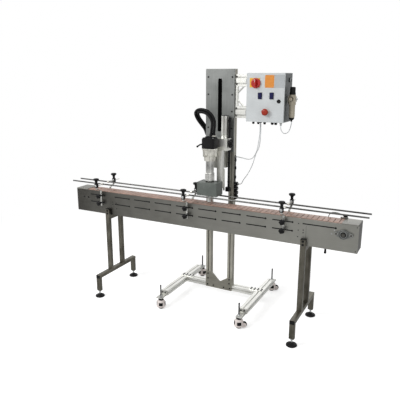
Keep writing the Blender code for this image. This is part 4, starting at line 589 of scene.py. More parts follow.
def hangingLead():
    # a short lead under the drive motor, with its two-part connector
    x, y = lead["x"], lead["y"]
    path = curveThrough(((x, y, lead["top"]), (x + 0.5, y - 1, 735), (x + 1, y - 2, 685), (x, y - 2, lead["end"])), 40)
    plug = addPiece("leadConnector", "frame", [
        (lathe(((0, 0), (6.5, 0), (7.5, -6), (7.5, -22), (9, -24), (9, -36), (6.5, -38), (0, -38)),
               (x, y - 2, lead["end"] + 4), up, 24, lobes=8, depth=0.03), "blackNylon")])
    piece = addPiece("driveLead", "frame", [(sweep(path, lead["radius"], 14), "blackPvc")], sharp=80)


hangingLead()
print("hoses and tubes made")


# conveyor

sideLow, sideHigh = cornersOf("front_side_plate")
rearHigh = cornersOf("rear_side_plate")[1]
chainLow, chainHigh = cornersOf("slat_chain")
chain = dict(pitch=38.1, width=114.3, thickness=4.5, chamfer=0.9, eyeRadius=5.2, eyeWidth=9, eyeY=23.5)


def slatChain():
    # each slat's section is laid at run s on a racetrack: straight, half circle, straight, half circle
    radius = (chainHigh[2] - chainLow[2]) / 2
    axleX, axleZ = chainHigh[0] - radius, chainHigh[2] - radius
    straight = 2 * axleX
    around = 2 * straight + 2 * np.pi * radius
    count = round(around / chain["pitch"])
    s = (np.arange(count) + 0.35) * around / count
    bend = np.pi * radius
    phi = np.clip((s - straight) / radius, 0, np.pi) + np.clip((s - 2 * straight - bend) / radius, 0, np.pi)
    x = np.where(s < straight, s - axleX,
                 np.where(s < straight + bend, axleX, np.where(s < 2 * straight + bend, axleX - (s - straight - bend),
                     -axleX))) + radius * np.sin(phi)
    z = axleZ + radius * np.cos(phi)
    along = np.stack([np.cos(phi), 0 * phi, -np.sin(phi)], 1)
    out = np.stack([np.sin(phi), 0 * phi, np.cos(phi)], 1)
    spot = np.stack([x, 0 * x, z], 1)

    def laid(section, ys, inset):
        # the section's points at every y, pulled in a little at the first and last, then set on every slat
        section, ys, inset = np.array(section), np.array(ys), np.array(inset)
        centre = section.mean(0)
        flat = centre + (section - centre) * inset[:, None, None]
        local = flat[None, ..., 0, None] * along[:, None, None] + flat[None, ..., 1, None] * out[:, None,
                None] + ys[None, :, None, None] * np.array((0, 1, 0))
        cloud = (spot[:, None, None] + local).reshape(-1, 3)
        rows, columns = len(ys), len(section)
        one = gridFaces(rows, columns) + [list(range(columns)), list(range((rows - 1) * columns, rows * columns))]
        faces = [[v + k * rows * columns for v in face] for k in range(count) for face in one]
        return cloud, faces

    half = around / count / 2
    thick, chamfer = chain["thickness"], chain["chamfer"]
    plate = ((-half + 1.8, -2.4), (-half + 2.4, 0), (half - 3, 0), (half - 2.4, -0.7), (half - 2, -2.4),
             (half - 1.4, -thick), (-half + 1.4, -thick))
    w = chain["width"] / 2
    shapes = [(laid(plate, (-w, -w + chamfer, w - chamfer, w), (0.93, 1, 1, 0.93)), "brownAcetal")]
    # the hinge eyes in the dark finish act as painted shade in the seams between slats
    t = np.arange(6) * np.pi / 3
    eye = np.stack([half + chain["eyeRadius"] * np.cos(t), -6.2 + chain["eyeRadius"] * np.sin(t)], 1)
    for side in (-1, 1):
        y = side * chain["eyeY"]
        shapes.append((laid(eye, (y - chain["eyeWidth"] / 2, y + chain["eyeWidth"] / 2), (1, 1)), "shadedAcetal"))
    addPiece("slatChain", "frame", shapes, sharp=30, standsFor=("slat_chain",))


slatChain()


def dress(node, finish):
    # the node keeps its own mesh and takes a finish
    nodes[node].data.materials.clear()
    nodes[node].data.materials.append(finishes[finish])


# the side plates' brushed finish carries a painted shade that darkens them towards the left end
dress("front_side_plate", "brushedStainless")
dress("rear_side_plate", "brushedStainless")
# the end covers' finish paints the drive end's end face near black as shade and lightens the rest
softened("drive_end_cover", "endCoverPaintedShade", "frame", 1)
softened("idler_end_cover", "endCoverPaintedShade", "frame", 1)


def slotShadeStrips():
    # painted shade: black strips behind the side plates' slots stand in for the dark inside the conveyor
    shapes = []
    for side in (-1, 1):
        low, high = sorted((side * 68.4, side * 69.1))
        shapes.append((slab((-1095, low, 778), (1085, high, 872.5), 2, "xz"), "blackNylon"))
    addPiece("slotShadeStrips", "frame", shapes)


slotShadeStrips()


def plateFasteners():
    # module seams with their bolts, the idler's fixing bolts and the cover screws
    shapes = []
    seamBolts = ((-55, 855), (-56, 806), (-20, 812), (-20, 792), (-58, 757))
    for y, way in ((sideLow[1], -1), (rearHigh[1], 1)):
        low, high = sorted((y, y + way * 0.4))
        for seam in (-848.5, 861.5):
            shapes.append((slab((seam - 0.7, low, sideLow[2] + 1), (seam + 0.7, high, 846), 0.1), "blackOxide"))
            shapes += [screwHead((seam + dx * math.copysign(1, seam), y, z), (0, way, 0), 4, 2, "blackOxide") for dx,
                       z in seamBolts]
        for x in (-1140.5, -1094.5):
            shapes.append(hexHead((x, y, 827), (0, way, 0), 7, 4.8, "blackOxide"))
            shapes.append((plainDisc(9, 0, 1.4, (x, y, 827), (0, way, 0), 24), "coverStainless"))
        shapes += [screwHead((side * 1206, y, z), (0, way, 0), 3.2, 1.6, "blackOxide") for side in (-1, 1)
                   for z in (882, 712)]
    addPiece("plateFasteners", "frame", shapes)


def edgeGuide():
    # a small clip on the far edge with a bent spring-wire guide over the chain
    x, z = 1085, sideHigh[2]
    clip = [(slab((x - 20, 69.8, z - 20), (x + 34, 71.6, z + 14), 2, "xz"), "bareSheet"),
            (slab((x - 18, 56, z + 12), (x + 32, 71.6, z + 13.8), 2), "bareSheet"),
            (slab((x + 2, 57, z + 13.8), (x + 30, 71, z + 26), 3), "blackNylon")]
    wire = curveThrough(((x + 4, 64, z + 20), (x - 14, 62, z + 32), (x - 45, 58, z + 40), (x - 80, 54, z + 38),
                         (x - 95, 50, z + 20), (x - 100, 48, z + 6)), 60)
    clip.append((sweep(wire, 2.6, 12, (0.1, 1.0, 0.1)), "coverStainless"))
    addPiece("edgeGuide", "frame", clip, 0.4, segments=1)


edgeGuide()
plateFasteners()


rowSides = (("front", -1), ("rear", 1))
rail = dict(radius=6, z=955, y=50, half=(sideHigh[0] - sideLow[0]) / 2 + 56, frontX=(-948, -96, 696),
            rearX=(-960, -122, 690),
            frontTip=147.5, rearTip=204.5)
for row, side in rowSides:
    shapes = [(roundBar((0, side * rail["y"], rail["z"]), toRight, rail["radius"], -rail["half"], rail["half"]),
               "darkRod")]
    for x in rail[row + "X"]:
        shapes.append((roundBar((x, 0, rail["z"]), (0, side, 0), rail["radius"] * 0.97, rail["y"], rail[row + "Tip"]),
                       "groundSteel"))
        shapes.append((roundBar((x, side * rail["y"], rail["z"]), toRight, 9.5, -9, 9, 1), "castAluminium"))
    addPiece(row + "Rail", row + "_rail", shapes, standsFor=(row + "_guide_rail",))


def starKnob(centre, axis):
    # a lobed grip on a stem: the turned profile's radius is multiplied by a five-fold wave
    radius = 20.5
    grip = ((0, 24), (radius * 0.62, 24), (radius * 0.86, 27), (radius * 0.97, 31), (radius, 36), (radius * 0.95, 42),
            (radius * 0.72, 45.5), (0, 46))
    stem = ((0, 0), (8.5, 0), (7.8, 12), (10, 26), (0, 26))
    cap = ((0, 46), (6, 46), (5.8, 46.8), (0, 47))
    return [(lathe(grip, centre, axis, 50, lobes=5, depth=0.10), "blackNylon"),
            (lathe(stem, centre, axis, 24), "blackNylon"),
            (lathe(cap, centre, axis, 20), "blackOxide"), (plainDisc(11.5, -0.2, 1.8, centre, axis, 24), "zincSteel")]


def railBracket(name, node, x, side):
    face = 69.8
    out = 129.5
    thick = 6
    foot = rail["z"] - 15
    path = [(face, 766), (face, 903), (out - thick / 2, foot - 12), (out - thick / 2, foot), (out + thick / 2, foot),
            (out + thick / 2, foot - 15),
            (face + thick, 900), (face + thick, 766)]
    bar = prism([(side * y, z) for y, z in path], "yz", x - 8, x + 8)
    low, high = rail["z"] - 17, rail["z"] + 17
    clamp = slab((x - 13, side * out - 13, low), (x + 13, side * out + 13, high), 4)
    collar = roundBar((x, side * out, rail["z"]), (0, 1, 0), 10.5, -15, 15, 1)
    addPiece(name, "frame", [(bar, "milledAluminium"), (clamp, "blackNylon"), (collar, "zincSteel")], 0.9,
             standsFor=(node,))
    knob = ((0, 46), (19, 46), (22.5, 44), (24, 40), (24, 35), (21.5, 31), (13, 26), (10.5, 16), (9.8, 1), (0, 1))
    shapes = [(lathe(knob, (x, side * out, high), up, 56, lobes=8, depth=0.035), "blackNylon")]
    shapes.append((lathe(((0, 46), (7.5, 46), (7, 47.2), (0, 47.5)), (x, side * out, high), up, 20), "blackOxide"))
    for z in (858.5, 794.5):
        shapes += starKnob((x, side * (face + thick), z), (0, side, 0))
    addPiece(name + "Knobs", "frame", shapes)


for row, side in rowSides:
    for k, x in enumerate(rail[row + "X"]):
        railBracket(f"{row}Bracket{k + 1}", f"{row}_rail_bracket_{k + 1}", x, side)
print("chain, rails and brackets made")

legs = dict(halfX=20, wall=3.5, inner=69.8, outer=99.8, top=748, tieTop=697.7, tieHeight=38, barTop=200, barLow=170,
            footNear=236.3, footFar=266.3, footLow=56)
for name, node in (("leftLegs", "left_leg_frame"), ("rightLegs", "right_leg_frame")):
    low, high = cornersOf(node)
    x0, x1 = low[0], high[0]
    shapes = []
    for side in (-1, 1):
        ys = sorted((side * legs["inner"], side * legs["outer"]))
        shapes.append((slab((x0, ys[0], legs["barTop"] - 2), (x1, ys[1], legs["top"]), legs["wall"]), "stainlessTube"))
        ys = sorted((side * legs["footNear"], side * legs["footFar"]))
        shapes.append((slab((x0, ys[0], legs["footLow"]), (x1, ys[1], legs["barLow"] + 4), legs["wall"]),
                       "stainlessTube"))
        end = side * legs["footFar"]
        ys = sorted((end, end + side * 1.5))
        shapes.append((slab((x0 + 1, ys[0], legs["barLow"] + 1), (x1 - 1, ys[1], legs["barTop"] - 1), 0.6, "xz"),
                       "blackNylon"))
        face = side * legs["outer"]
        for z in (legs["top"] - 12, legs["top"] - 37):
            shapes.append(hexHead(((x0 + x1) / 2, face, z), (0, side, 0), 6.8, 5, "blackOxide"))
            shapes.append((plainDisc(9, 0, 1.4, ((x0 + x1) / 2, face, z), (0, side, 0), 24), "blackOxide"))
        ys = sorted((side * legs["inner"], side * legs["outer"]))
        shapes.append((slab((x0 + 1, ys[0] + 1, legs["top"] - 0.5), (x1 - 1, ys[1] - 1, legs["top"] + 2.5), 3),
                       "blackNylon"))
    far = legs["footFar"]
    shapes.append((slab((x0, -far, legs["barLow"]), (x1, far, legs["barTop"]), legs["wall"], "xz"), "stainlessTube"))
    shapes.append((slab((x0, -legs["inner"] - 2, legs["tieTop"] - legs["tieHeight"]),
                        (x1, legs["inner"] + 2, legs["tieTop"]), legs["wall"], "xz"), "stainlessTube"))
    addPiece(name, "frame", shapes, 0.5, standsFor=(node,), segments=1)
    for row, side in rowSides:
        spot = ((x0 + x1) / 2, side * (legs["footNear"] + legs["footFar"]) / 2, 0)
        pad = ((0, 0), (37, 0), (39.5, 2), (40, 6), (38, 10.5), (34, 14), (24, 17.5), (15.5, 21.5), (13, 26),
               (8.5, 28), (0, 28))
        foot = [(lathe(pad, spot, steps=56), "blackNylon"),
                (lathe(threaded(6, 24, 57.5), spot, steps=24), "zincSteel"),
                hexHead((spot[0], spot[1], 45.5), up, 10.8, 10), hexHead((spot[0], spot[1], 30), up, 9.5, 6)]
        addPiece(f"{name[:-4]}Foot{row.capitalize()}", "frame", foot,
                 standsFor=(f"levelling_foot_{name[:-4]}_{row}",))
print("legs and feet made")


# drive end: bearing, shaft and gearmotor

drive = dict(x=1122, z=823, bearingFace=-79.8, boxY=(70, 149.8), motorY=111.8, motorZ=815, motorRadius=34, fins=12)


def driveEnd():
    x, z, base = drive["x"], drive["z"], -69.8
    # the flange's outline is the hull of a wide middle circle and two small end circles
    t = np.linspace(-math.acos(20 / 50), math.acos(20 / 50), 12)
    ear = np.stack([50 + 13 * np.cos(t), 13 * np.sin(t)], 1)
    t = np.linspace(math.acos(20 / 50), math.pi - math.acos(20 / 50), 14)
    crown = np.stack([33 * np.cos(t), 33 * np.sin(t)], 1)
    loop = np.concatenate([ear, crown, -ear, -crown]) + (x, z)
    flange = [(prism(loop, "xz", drive["bearingFace"], base), "satinPlate")]
    rings = ((0, 9), (33.5, 9), (33.5, 16), (31.8, 17.8), (30, 18), (28.5, 16.2), (27, 16.2), (25.5, 18.5), (24, 20),
             (20, 20), (18.5, 18), (13, 18), (13, 12), (0, 12))
    flange.append((lathe(rings, (x, base, z), toFront, 60), "satinPlate"))
    seal = ((13, 17), (18.3, 17), (18.3, 18.8), (13, 18.8))
    flange.append((lathe(seal, (x, base, z), toFront, 40, closed=True), "blackNylon"))
    flange.append((lathe(((27.2, 15.8), (30, 15.8), (30, 17.4), (27.2, 17.4)), (x, base, z), toFront, 48,
                         closed=True), "blackOxide"))
    addPiece("driveBearing", "frame", flange, 1, standsFor=("drive_bearing",))
    shapes = []
    for dx in (-50, 50):
        spot = (x + dx, drive["bearingFace"], z)
        shapes.append(hexHead(spot, toFront, 8, 5.5, "coverStainless"))
        shapes.append((plainDisc(10, -0.5, 1.6, spot, toFront, 24), "milledAluminium"))
    shapes += [screwHead((px, -69.5, pz), toFront, 4.5, 2.5, "zincSteel") for px, pz in ((1058, 842), (1040, 815))]
    addPiece("bearingBolts", "frame", shapes)
    low, high = drive["boxY"]
    box = [(slab((1077, low, 778), (1167, high, 868), 12, "xz"), "blackPaint")]
    box += [screwHead((x, high, z), (0, 1, 0), 4.2, 3) for z in (792, 854) for x in (1091, 1153)]
    r, count = drive["motorRadius"], 4 * drive["fins"]
    fin = np.where(np.arange(count) // 2 % 2 == 0, r, r - 3.5)
    profile = [(0, -4), (r * 0.82, -4), (r * 0.82, 2), *zip(fin, np.linspace(4, 112, count)),
               (r, 116), (r, 138), (r - 3, 145.5), (r - 14, 149.5), (0, 150)]
    box.append((lathe(profile, (1077, drive["motorY"], drive["motorZ"]), (-1, 0, 0), 48), "blackPaint"))
    box.append((slab((952, drive["motorY"] - 16, 777), (996, drive["motorY"] + 16, 800), 4), "blackPaint"))
    addPiece("gearmotor", "frame", box, 1.2, standsFor=("gearmotor",))
    dress("drive_shaft", "coverStainless")
    dress("idler_shaft", "coverStainless")
    dress("chain_bed", "whitePolyethylene")


driveEnd()


# wheeled stand, posts and plates

stand = dict(x=68, y=183, span=355, half=305, width=60, height=45, top=130, armHalf=25, armTip=401, armLow=88,
             armHigh=100)


def barCap(size, middle, along, at, way):
    # a black moulded cap closing an extruded bar's open end
    x, y = np.array(size) / 2 - 0.6
    low, high = sorted((at, at + way * 1.5))
    return prism(roundRect((middle[0] - x, middle[0] + x), (middle[1] - y, middle[1] + y), 2), along, low,
                 high), "blackNylon"


def wheeledStand():
    z = stand["top"] - stand["height"] / 2
    for name, node, side in (("leftBaseBeam", "left_base_beam", -1), ("rightBaseBeam", "right_base_beam", 1)):
        x = stand["x"] + side * stand["span"]
        section = tSlotLoop((x, z), (stand["width"], stand["height"]))
        shapes = [(prism(section, "xz", stand["y"] - stand["half"], stand["y"] + stand["half"]), "clearAnodisedBeam")]
        for end in (-1, 1):
            butt, tip = stand["half"] + 0.2, stand["armTip"]
            loop = [(butt, stand["armLow"]), (tip - 6, stand["armLow"]), (tip, stand["armLow"] + 5),
                    (tip - 2, stand["armHigh"]),
                    (butt + 14, stand["armHigh"]), (butt + 12, stand["top"]), (butt, stand["top"])]
            arm = prism([(stand["y"] + end * y, h) for y, h in loop], "yz", x - stand["armHalf"], x + stand["armHalf"])
            shapes.append((arm, "milledAluminium"))
            shapes += [screwHead((x + dx, stand["y"] + end * (butt + 12.5), stand["top"] - 14), (0, end, 0), 6, 5)
                       for dx in (-13, 13)]
        addPiece(name, "frame", shapes, 0.7, standsFor=(node,), segments=1)
    span = stand["span"] - stand["width"] / 2 - 0.3
    middle = postLow[1] + stand["width"] / 2
    shapes = [(prism(tSlotLoop((middle, z), (stand["width"], stand["height"])), "yz", stand["x"] - span,
                     stand["x"] + span), "clearAnodisedBeam")]
    low = stand["top"] + 0.3
    for side in (-1, 1):
        x = stand["x"] + side * (stand["span"] - 30)
        shapes.append((slab((x - 62.5, middle - 22, low), (x + 62.5, middle + 22, low + 5), 4), "clearAnodisedBeam"))
        shapes += [screwHead((x + (k - 1.5) * 30, middle + row * 12.5, low + 5), up, 6, 5.5, "blackPaint")
                   for row in (-1, 1) for k in range(4)]
    addPiece("crossBeam", "frame", shapes, 0.6, standsFor=("cross_beam",), segments=1)


wheeledStand()


def column():
    side = postHigh[0] - postLow[0]
    low, high = postLow[2], postHigh[2]
    for name, node in (("leftPost", "left_post"), ("rightPost", "right_post")):
        a, b = cornersOf(node)
        middle = ((a[0] + b[0]) / 2, (a[1] + b[1]) / 2)
        shapes = [(prism(tSlotLoop(middle, (side, side)), "xy", low, high - 1.6), "shadedAnodisedBar"),
                  barCap((side, side), middle, "xy", high - 1.6, 1)]
        addPiece(name, "frame", shapes, 0.5, standsFor=(node,), segments=1)
    softened("column_plate", "satinPlate", "frame", 0.8)
    softened("base_gusset_plate", "warmPlate", "frame", 0.8)
    face = columnLow[1]
    screws = [screwHead((x, face, z), toFront, 6.2, 4.5) for x in (-42.5, 161.5)
              for z in (1857, 1725, 1598, 1467, 1325)]
    gussetFace = cornersOf("base_gusset_plate")[0][1]
    screws += [screwHead((x, gussetFace, z), toFront, 6.2, 4.5) for x,
               z in ((-42, 208), (-42, 165), (158, 186), (158, 150))]
    screws += [screwHead((x, gussetFace, 107), toFront, 6.2, 4.5) for x in (-46, 10, 108, 164)]
    brush = [(slab((x0, face + 4, 1337), (x1, face + 6, 1847), 0.8, "xz"), "bristle") for x0,
             x1 in ((40.5, 57.9), (58.1, 75.5))]
    addPiece("slotBrush", "frame", brush)
    addPiece("plateScrews", "frame", screws)


column()


def cabinetArms():
    low, high = cornersOf("cabinet_arms")
    middleY = (postLow[1] + postHigh[1]) / 2
    left, right = low[0], high[0]
    size = (postHigh[1] - postLow[1], 90)
    shapes = []
    for top in (1877, 1640):
        shapes.append((prism(tSlotLoop((middleY, top - 45), size, (1, 2)), "yz", left, right - 1.5),
                       "clearAnodisedBar"))
        shapes.append(barCap(size, (middleY, top - 45), "yz", right - 1.5, 1))
    front = postLow[1]
    shapes.append((slab((left, front, 1639), (left + 22, front + 25, 1788), 2), "clearAnodisedBar"))
    for corner, way in ((1787, -1), (1640, 1)):
        start, run = left + 20, 52
        loop = [(start, corner + way * run), (start, corner + way * (run - 12)), (start + run - 12, corner),
                (start + run, corner)]
        shapes.append((prism(loop, "xz", front + 1, front + 21), "milledAluminium"))
    addPiece("cabinetArms", "frame", shapes, 0.6, standsFor=("cabinet_arms",), segments=1)
    screws = [screwHead((left + 12, front, z), toFront, 5.5, 4) for z in (1862, 1802, 1625, 1565)]
    addPiece("armScrews", "frame", screws)


cabinetArms()
print("stand and column made")


# head: carriage, bracket, motor, spindle, guard

head = dict(x=68, housingTop=1331.7, radius=61)


def slide():
    # the bar and plates are copies of the solid's own faces with eased edges, then the bar's end cap and the screws
    piece = softened("height_carriage", "clearAnodisedBar", "carriage", 0.7)
    piece.data.materials.append(finishes["satinPlate"])
    corners = np.array([corner.co for corner in piece.data.vertices])
    for face in piece.data.polygons:
        # everything but the upright bar takes the darker blasted-plate finish, partly as painted shade for the
        # carriage plate that sits in shadow
        x, y, _ = (corners[list(face.vertices)].mean(0) - (0, midY, 0)) * 1000
        if y > 179.7 or x < 99:
            face.material_index = 1
    low, high = cornersOf("height_carriage")
    shapes = [barCap((45, 45), (122, 157.8), "xy", high[2] - 0.2, 1)]
    shapes += [screwHead((x, low[1] + 44.5, z), toFront, 5.5, 4.5) for x in (12, 86) for z in (1318, 1422)]
    addPiece("slideScrews", "carriage", shapes)


slide()
softened("head_bracket", "clearAnodisedBar", "carriage", 1)
softened("guard_box", "darkEnamel", "carriage", 1.2)


def headParts():
    x, top = head["x"], head["housingTop"]
    # the motor cover: rounded box with a stepped lid, cooling ribs and terminal crown
    body = [(slab((x - 51, -47, 1332.2), (x + 51, 47, 1404), 13), "blackPaint"),
            (slab((x - 47, -43, 1403.5), (x + 47, 43, 1412), 11), "blackPaint"),
            (slab((x - 26, -32, 1410), (x + 36, 36, 1422.2), 6), "blackNylon")]
    body += [(slab((x - 51.5, -47.5, 1345 + 9 * k), (x + 51.5, 47.5, 1348 + 9 * k), 13.5), "blackPaint")
             for k in range(6)]
    body += [screwHead((x + dx, dy, 1412), up, 4, 3, "zincSteel") for dx in (-40, 43) for dy in (-36, 38)]
    lever = curveThrough(((x - 45, -36, 1362), (x - 63, -38, 1359), (x - 83, -40, 1346)), 24)
    body.append((sweep(lever, np.linspace(6.2, 5, 24), 16), "blackNylon"))
    body.append((lathe(((0, 0), (4, 1), (7.2, 5), (7.8, 10), (6, 15), (0, 16.8)), lever[-1] + (4, 0, 2),
                       (-0.8, -0.1, -0.5), 24), "blackNylon"))
    addPiece("headMotor", "carriage", body, 1.4, standsFor=("head_motor",))
    fork = [(slab((x - 6, -14, 1422.2), (x + 48, 14, 1426.2), 10), "castAluminium")]
    for dx in (9.7, 32.3):
        fork.append((lathe(((0, 0), (15.5, 0), (15.5, 6), (13.5, 8), (0, 8)), (x + dx, 0, 1422.5), up, 28),
                     "castAluminium"))
    addPiece("hoseFork", "carriage", fork, 0.8)
    # the housing: a stepped funnel with flutes between its steps, hollow below for the quill
    r = head["radius"]
    outer = [(r - 1, top), (r, top - 1), (r, top - 9.5), (r - 3.5, top - 12), (r - 4.5, top - 16), (r - 6.5, top - 30),
             (r - 7.5, top - 44), (r - 11, top - 46.5), (r - 11, top - 52), (r - 14, top - 56), (r - 14.5, top - 61),
             (44.5, top - 78), (43.5, 1237.5), (42.5, 1235.2)]
    inner = [(31.3, 1235.2), (31.3, 1320), (0, 1320)]
    shell = [(lathe([(0, top), *outer, *inner], (x, 0, 0), up, 64), "castFunnel")]
    shell += [(turnedRound(slab((x + 43.5, -2.2, top - 64), (x + 54.5, 2.2, top - 13), 1), degrees, (x, 0, 0)),
               "castFunnel") for degrees in range(15, 375, 30)]
    shell += [screwHead((x + (r - 8) * math.cos(a), (r - 8) * math.sin(a), top - 12), down, 3.5, 3)
              for a in np.arange(6) * math.pi / 3 + 0.3]
    addPiece("spindleHousing", "carriage", shell, standsFor=("spindle_housing",), sharp=30)
    low, high = cornersOf("spindle_quill")
    qx, qy = (low[0] + high[0]) / 2, (low[1] + high[1]) / 2
    stem = [(0, high[2]), (29.5, high[2]), (30.5, high[2] - 1), (30.5, 1138.5), (0, 1138.5)]
    collar = [(0, 1140), (34.5, 1140), (35.5, 1138.5), (35.5, 1129), (34, 1127.5), (34, 1124.5), (35.5, 1123),
              (35.5, 1083.5), (34.5, 1082), (0, 1082)]
    nose = [(0, 1082.5), (24.5, 1082.5), (24, 1080.5), (24, 1062), (22.8, 1061), (22.8, 1058), (24, 1057),
            (24, low[2] + 1), (23.2, low[2]),
            (11.4, low[2]), (11.4, low[2] + 58), (0, low[2] + 58)]
    quill = [(lathe(stem, (qx, qy, 0), up, 56), "turnedSteel"),
             (lathe(collar, (qx, qy, 0), up, 144, lobes=36, depth=0.022), "turnedSteel"),
             (lathe(nose, (qx, qy, 0), up, 56), "groundSteel")]
    addPiece("spindleQuill", "quill", quill, standsFor=("spindle_quill",), sharp=30)
    low, high = cornersOf("chuck")
    z0, z1 = low[2], high[2] - 52
    cup = [(0, high[2]), (10.5, high[2]), (11, high[2] - 0.6), (11, z1), (19.5, z1), (20.5, z1 - 1.2), (22, z1 - 4),
           (22, z1 - 18), (26.5, z1 - 22)]
    for k in range(5):
        z = z1 - 30 - k * 8.5
        cup += [(26.5, z + 1.2), (25.6, z), (26.5, z - 1.2)]
    cup += [(26.5, z0 + 1.5), (25, z0), (20, z0), (18, z0 + 3), (16.5, z0 + 6), (16.5, z0 + 30), (0, z0 + 30)]
    addPiece("chuck", "chuck",
             [(lathe(cup, ((low[0] + high[0]) / 2, (low[1] + high[1]) / 2, 0), up, 48), "groundSteel")],
             standsFor=("chuck",), sharp=30)
    at = (183, 98, 1362)
    rim = [(0, 30), (10, 30), (12, 28), (13, 18), (16, 15.5), (27.5, 15.5), (29, 18), (31.5, 20.5), (34.3, 19),
           (35, 14), (34.3, 9), (31.5, 7.5), (29, 9), (27.5, 11.5), (12, 11.5), (12, 0.6), (6, 0.6), (6, -25),
           (0, -25)]
    wheel = [(lathe(rim, at, toRight, 48), "blackNylon"), (plainDisc(6.5, 29.8, 30.6, at, toRight, 24), "blackOxide")]
    addPiece("handwheel", "handwheel", wheel, standsFor=("handwheel",), sharp=45)
    # corrugated conduit on the upright, with its plug
    run = np.linspace(0, 549, 330)
    radius = 9.2 + 0.7 * np.cos(2 * np.pi * run / 5.8)
    track = np.stack([0 * run + 159.5, 0 * run + 154.3, 1005.5 + run], 1)
    pipe = [(sweep(track, radius, 20, np.array((0, 1.0, 0))), "blackPvc"),
            (slab((140, 130.5, 972.2), (175, 160, 1006), 5), "blackNylon"),
            (slab((142, 129 + 1.5, 980), (173, 158.5, 984), 4), "blackNylon")]
    for z in (1045, 1200, 1360, 1530):
        pipe.append((lathe(((9, 0), (11.2, 0), (11.2, 6), (9, 6)), (159.5, 154.3, z), up, 24, closed=True),
                     "blackNylon"))
    addPiece("cableConduit", "carriage", pipe, standsFor=("cable_conduit",), sharp=60)


headParts()
print("head made")


# cabinet with its door, controls, air unit and valve stack

door = dict(front=29.8, plateDepth=1.6,
            plates=(("yellowLaminate", (369.5, 1786), (445.5, 1851)),
                    ("orangeLaminate", (483.5, 1785), (551.5, 1872)), ("greyLaminate", (555.5, 1785), (624.5, 1872))),
            displays=((449.5, 1728), (536.5, 1729)), displaySize=(30, 46),
            switch=(417, 1815.5), stop=(497, 1616), lock=(590, 1692))


def onDoor(low, high, depth, radius=2):
    # a flat rounded plate standing out of the door's face
    face = door["front"]
    return slab((low[0], face - depth, low[1]), (high[0], face + 0.3, high[1]), radius, "xz")


def cabinet():
    softened("cabinet_box", "powderCoat", "frame", 1.6)
    softened("cabinet_door", "powderCoat", "door", 1.8)
    fittings = []
    for x, radius in ((395, 9), (433, 9), (482, 10), (540, 11), (566, 11)):
        spot = (x, gland["y"], gland["roof"])
        fittings.append(hexHead(spot, down, radius * 1.1, 6.5, "blackNylon"))
        dome = [(0, 6), (radius * 0.92, 6), (radius * 0.92, 13), (radius * 0.72, 17), (radius * 0.45, 18),
                (radius * 0.45, 15), (0, 15)]
        fittings.append((lathe(dome, spot, down, 40, lobes=10, depth=0.03), "blackNylon"))
    inlet = (gland["x"], gland["y"], gland["roof"])
    fittings.append(hexHead(inlet, down, 10, 8, "zincSteel"))
    fittings.append((lathe([(0, 8), (7.5, 8), (7.5, 18), (5.5, 21.5), (0, 21.5)], inlet, down, 28), "zincSteel"))
    plug = [(0, 0), (15.5, 0), (15.5, 4), (13, 6), (13, 11.5), (11.5, 12.5), (0, 12.5)]
    fittings.append((lathe(plug, (628, 145, 1838), toRight, 32, lobes=8, depth=0.02), "blackNylon"))
    addPiece("cabinetGlands", "frame", fittings)
    gasket = prism(roundRect((349, 625), (1546, 1883), 4), "xz", 42.4, 43.7)
    addPiece("doorGasket", "frame", [(gasket, "blackRubber")])
    # the side panel is coloured darker: a thin skin carrying partly a darker coat and partly painted shade on that
    # side
    side = slab((627.9, 45, 1545), (628.4, 203, 1884), 3, "yz")
    addPiece("cabinetSideShade", "frame", [(side, "shadedCoat")])
    knuckle = ((0, -20), (3.6, -20), (4.2, -19.4), (4.2, 19.4), (3.6, 20), (0, 20))
    hinge = [(lathe(knuckle, (343, 35.8, z), up, 24), "zincSteel") for z in (1603, 1826)]
    addPiece("doorHinges", "door", hinge)


cabinet()


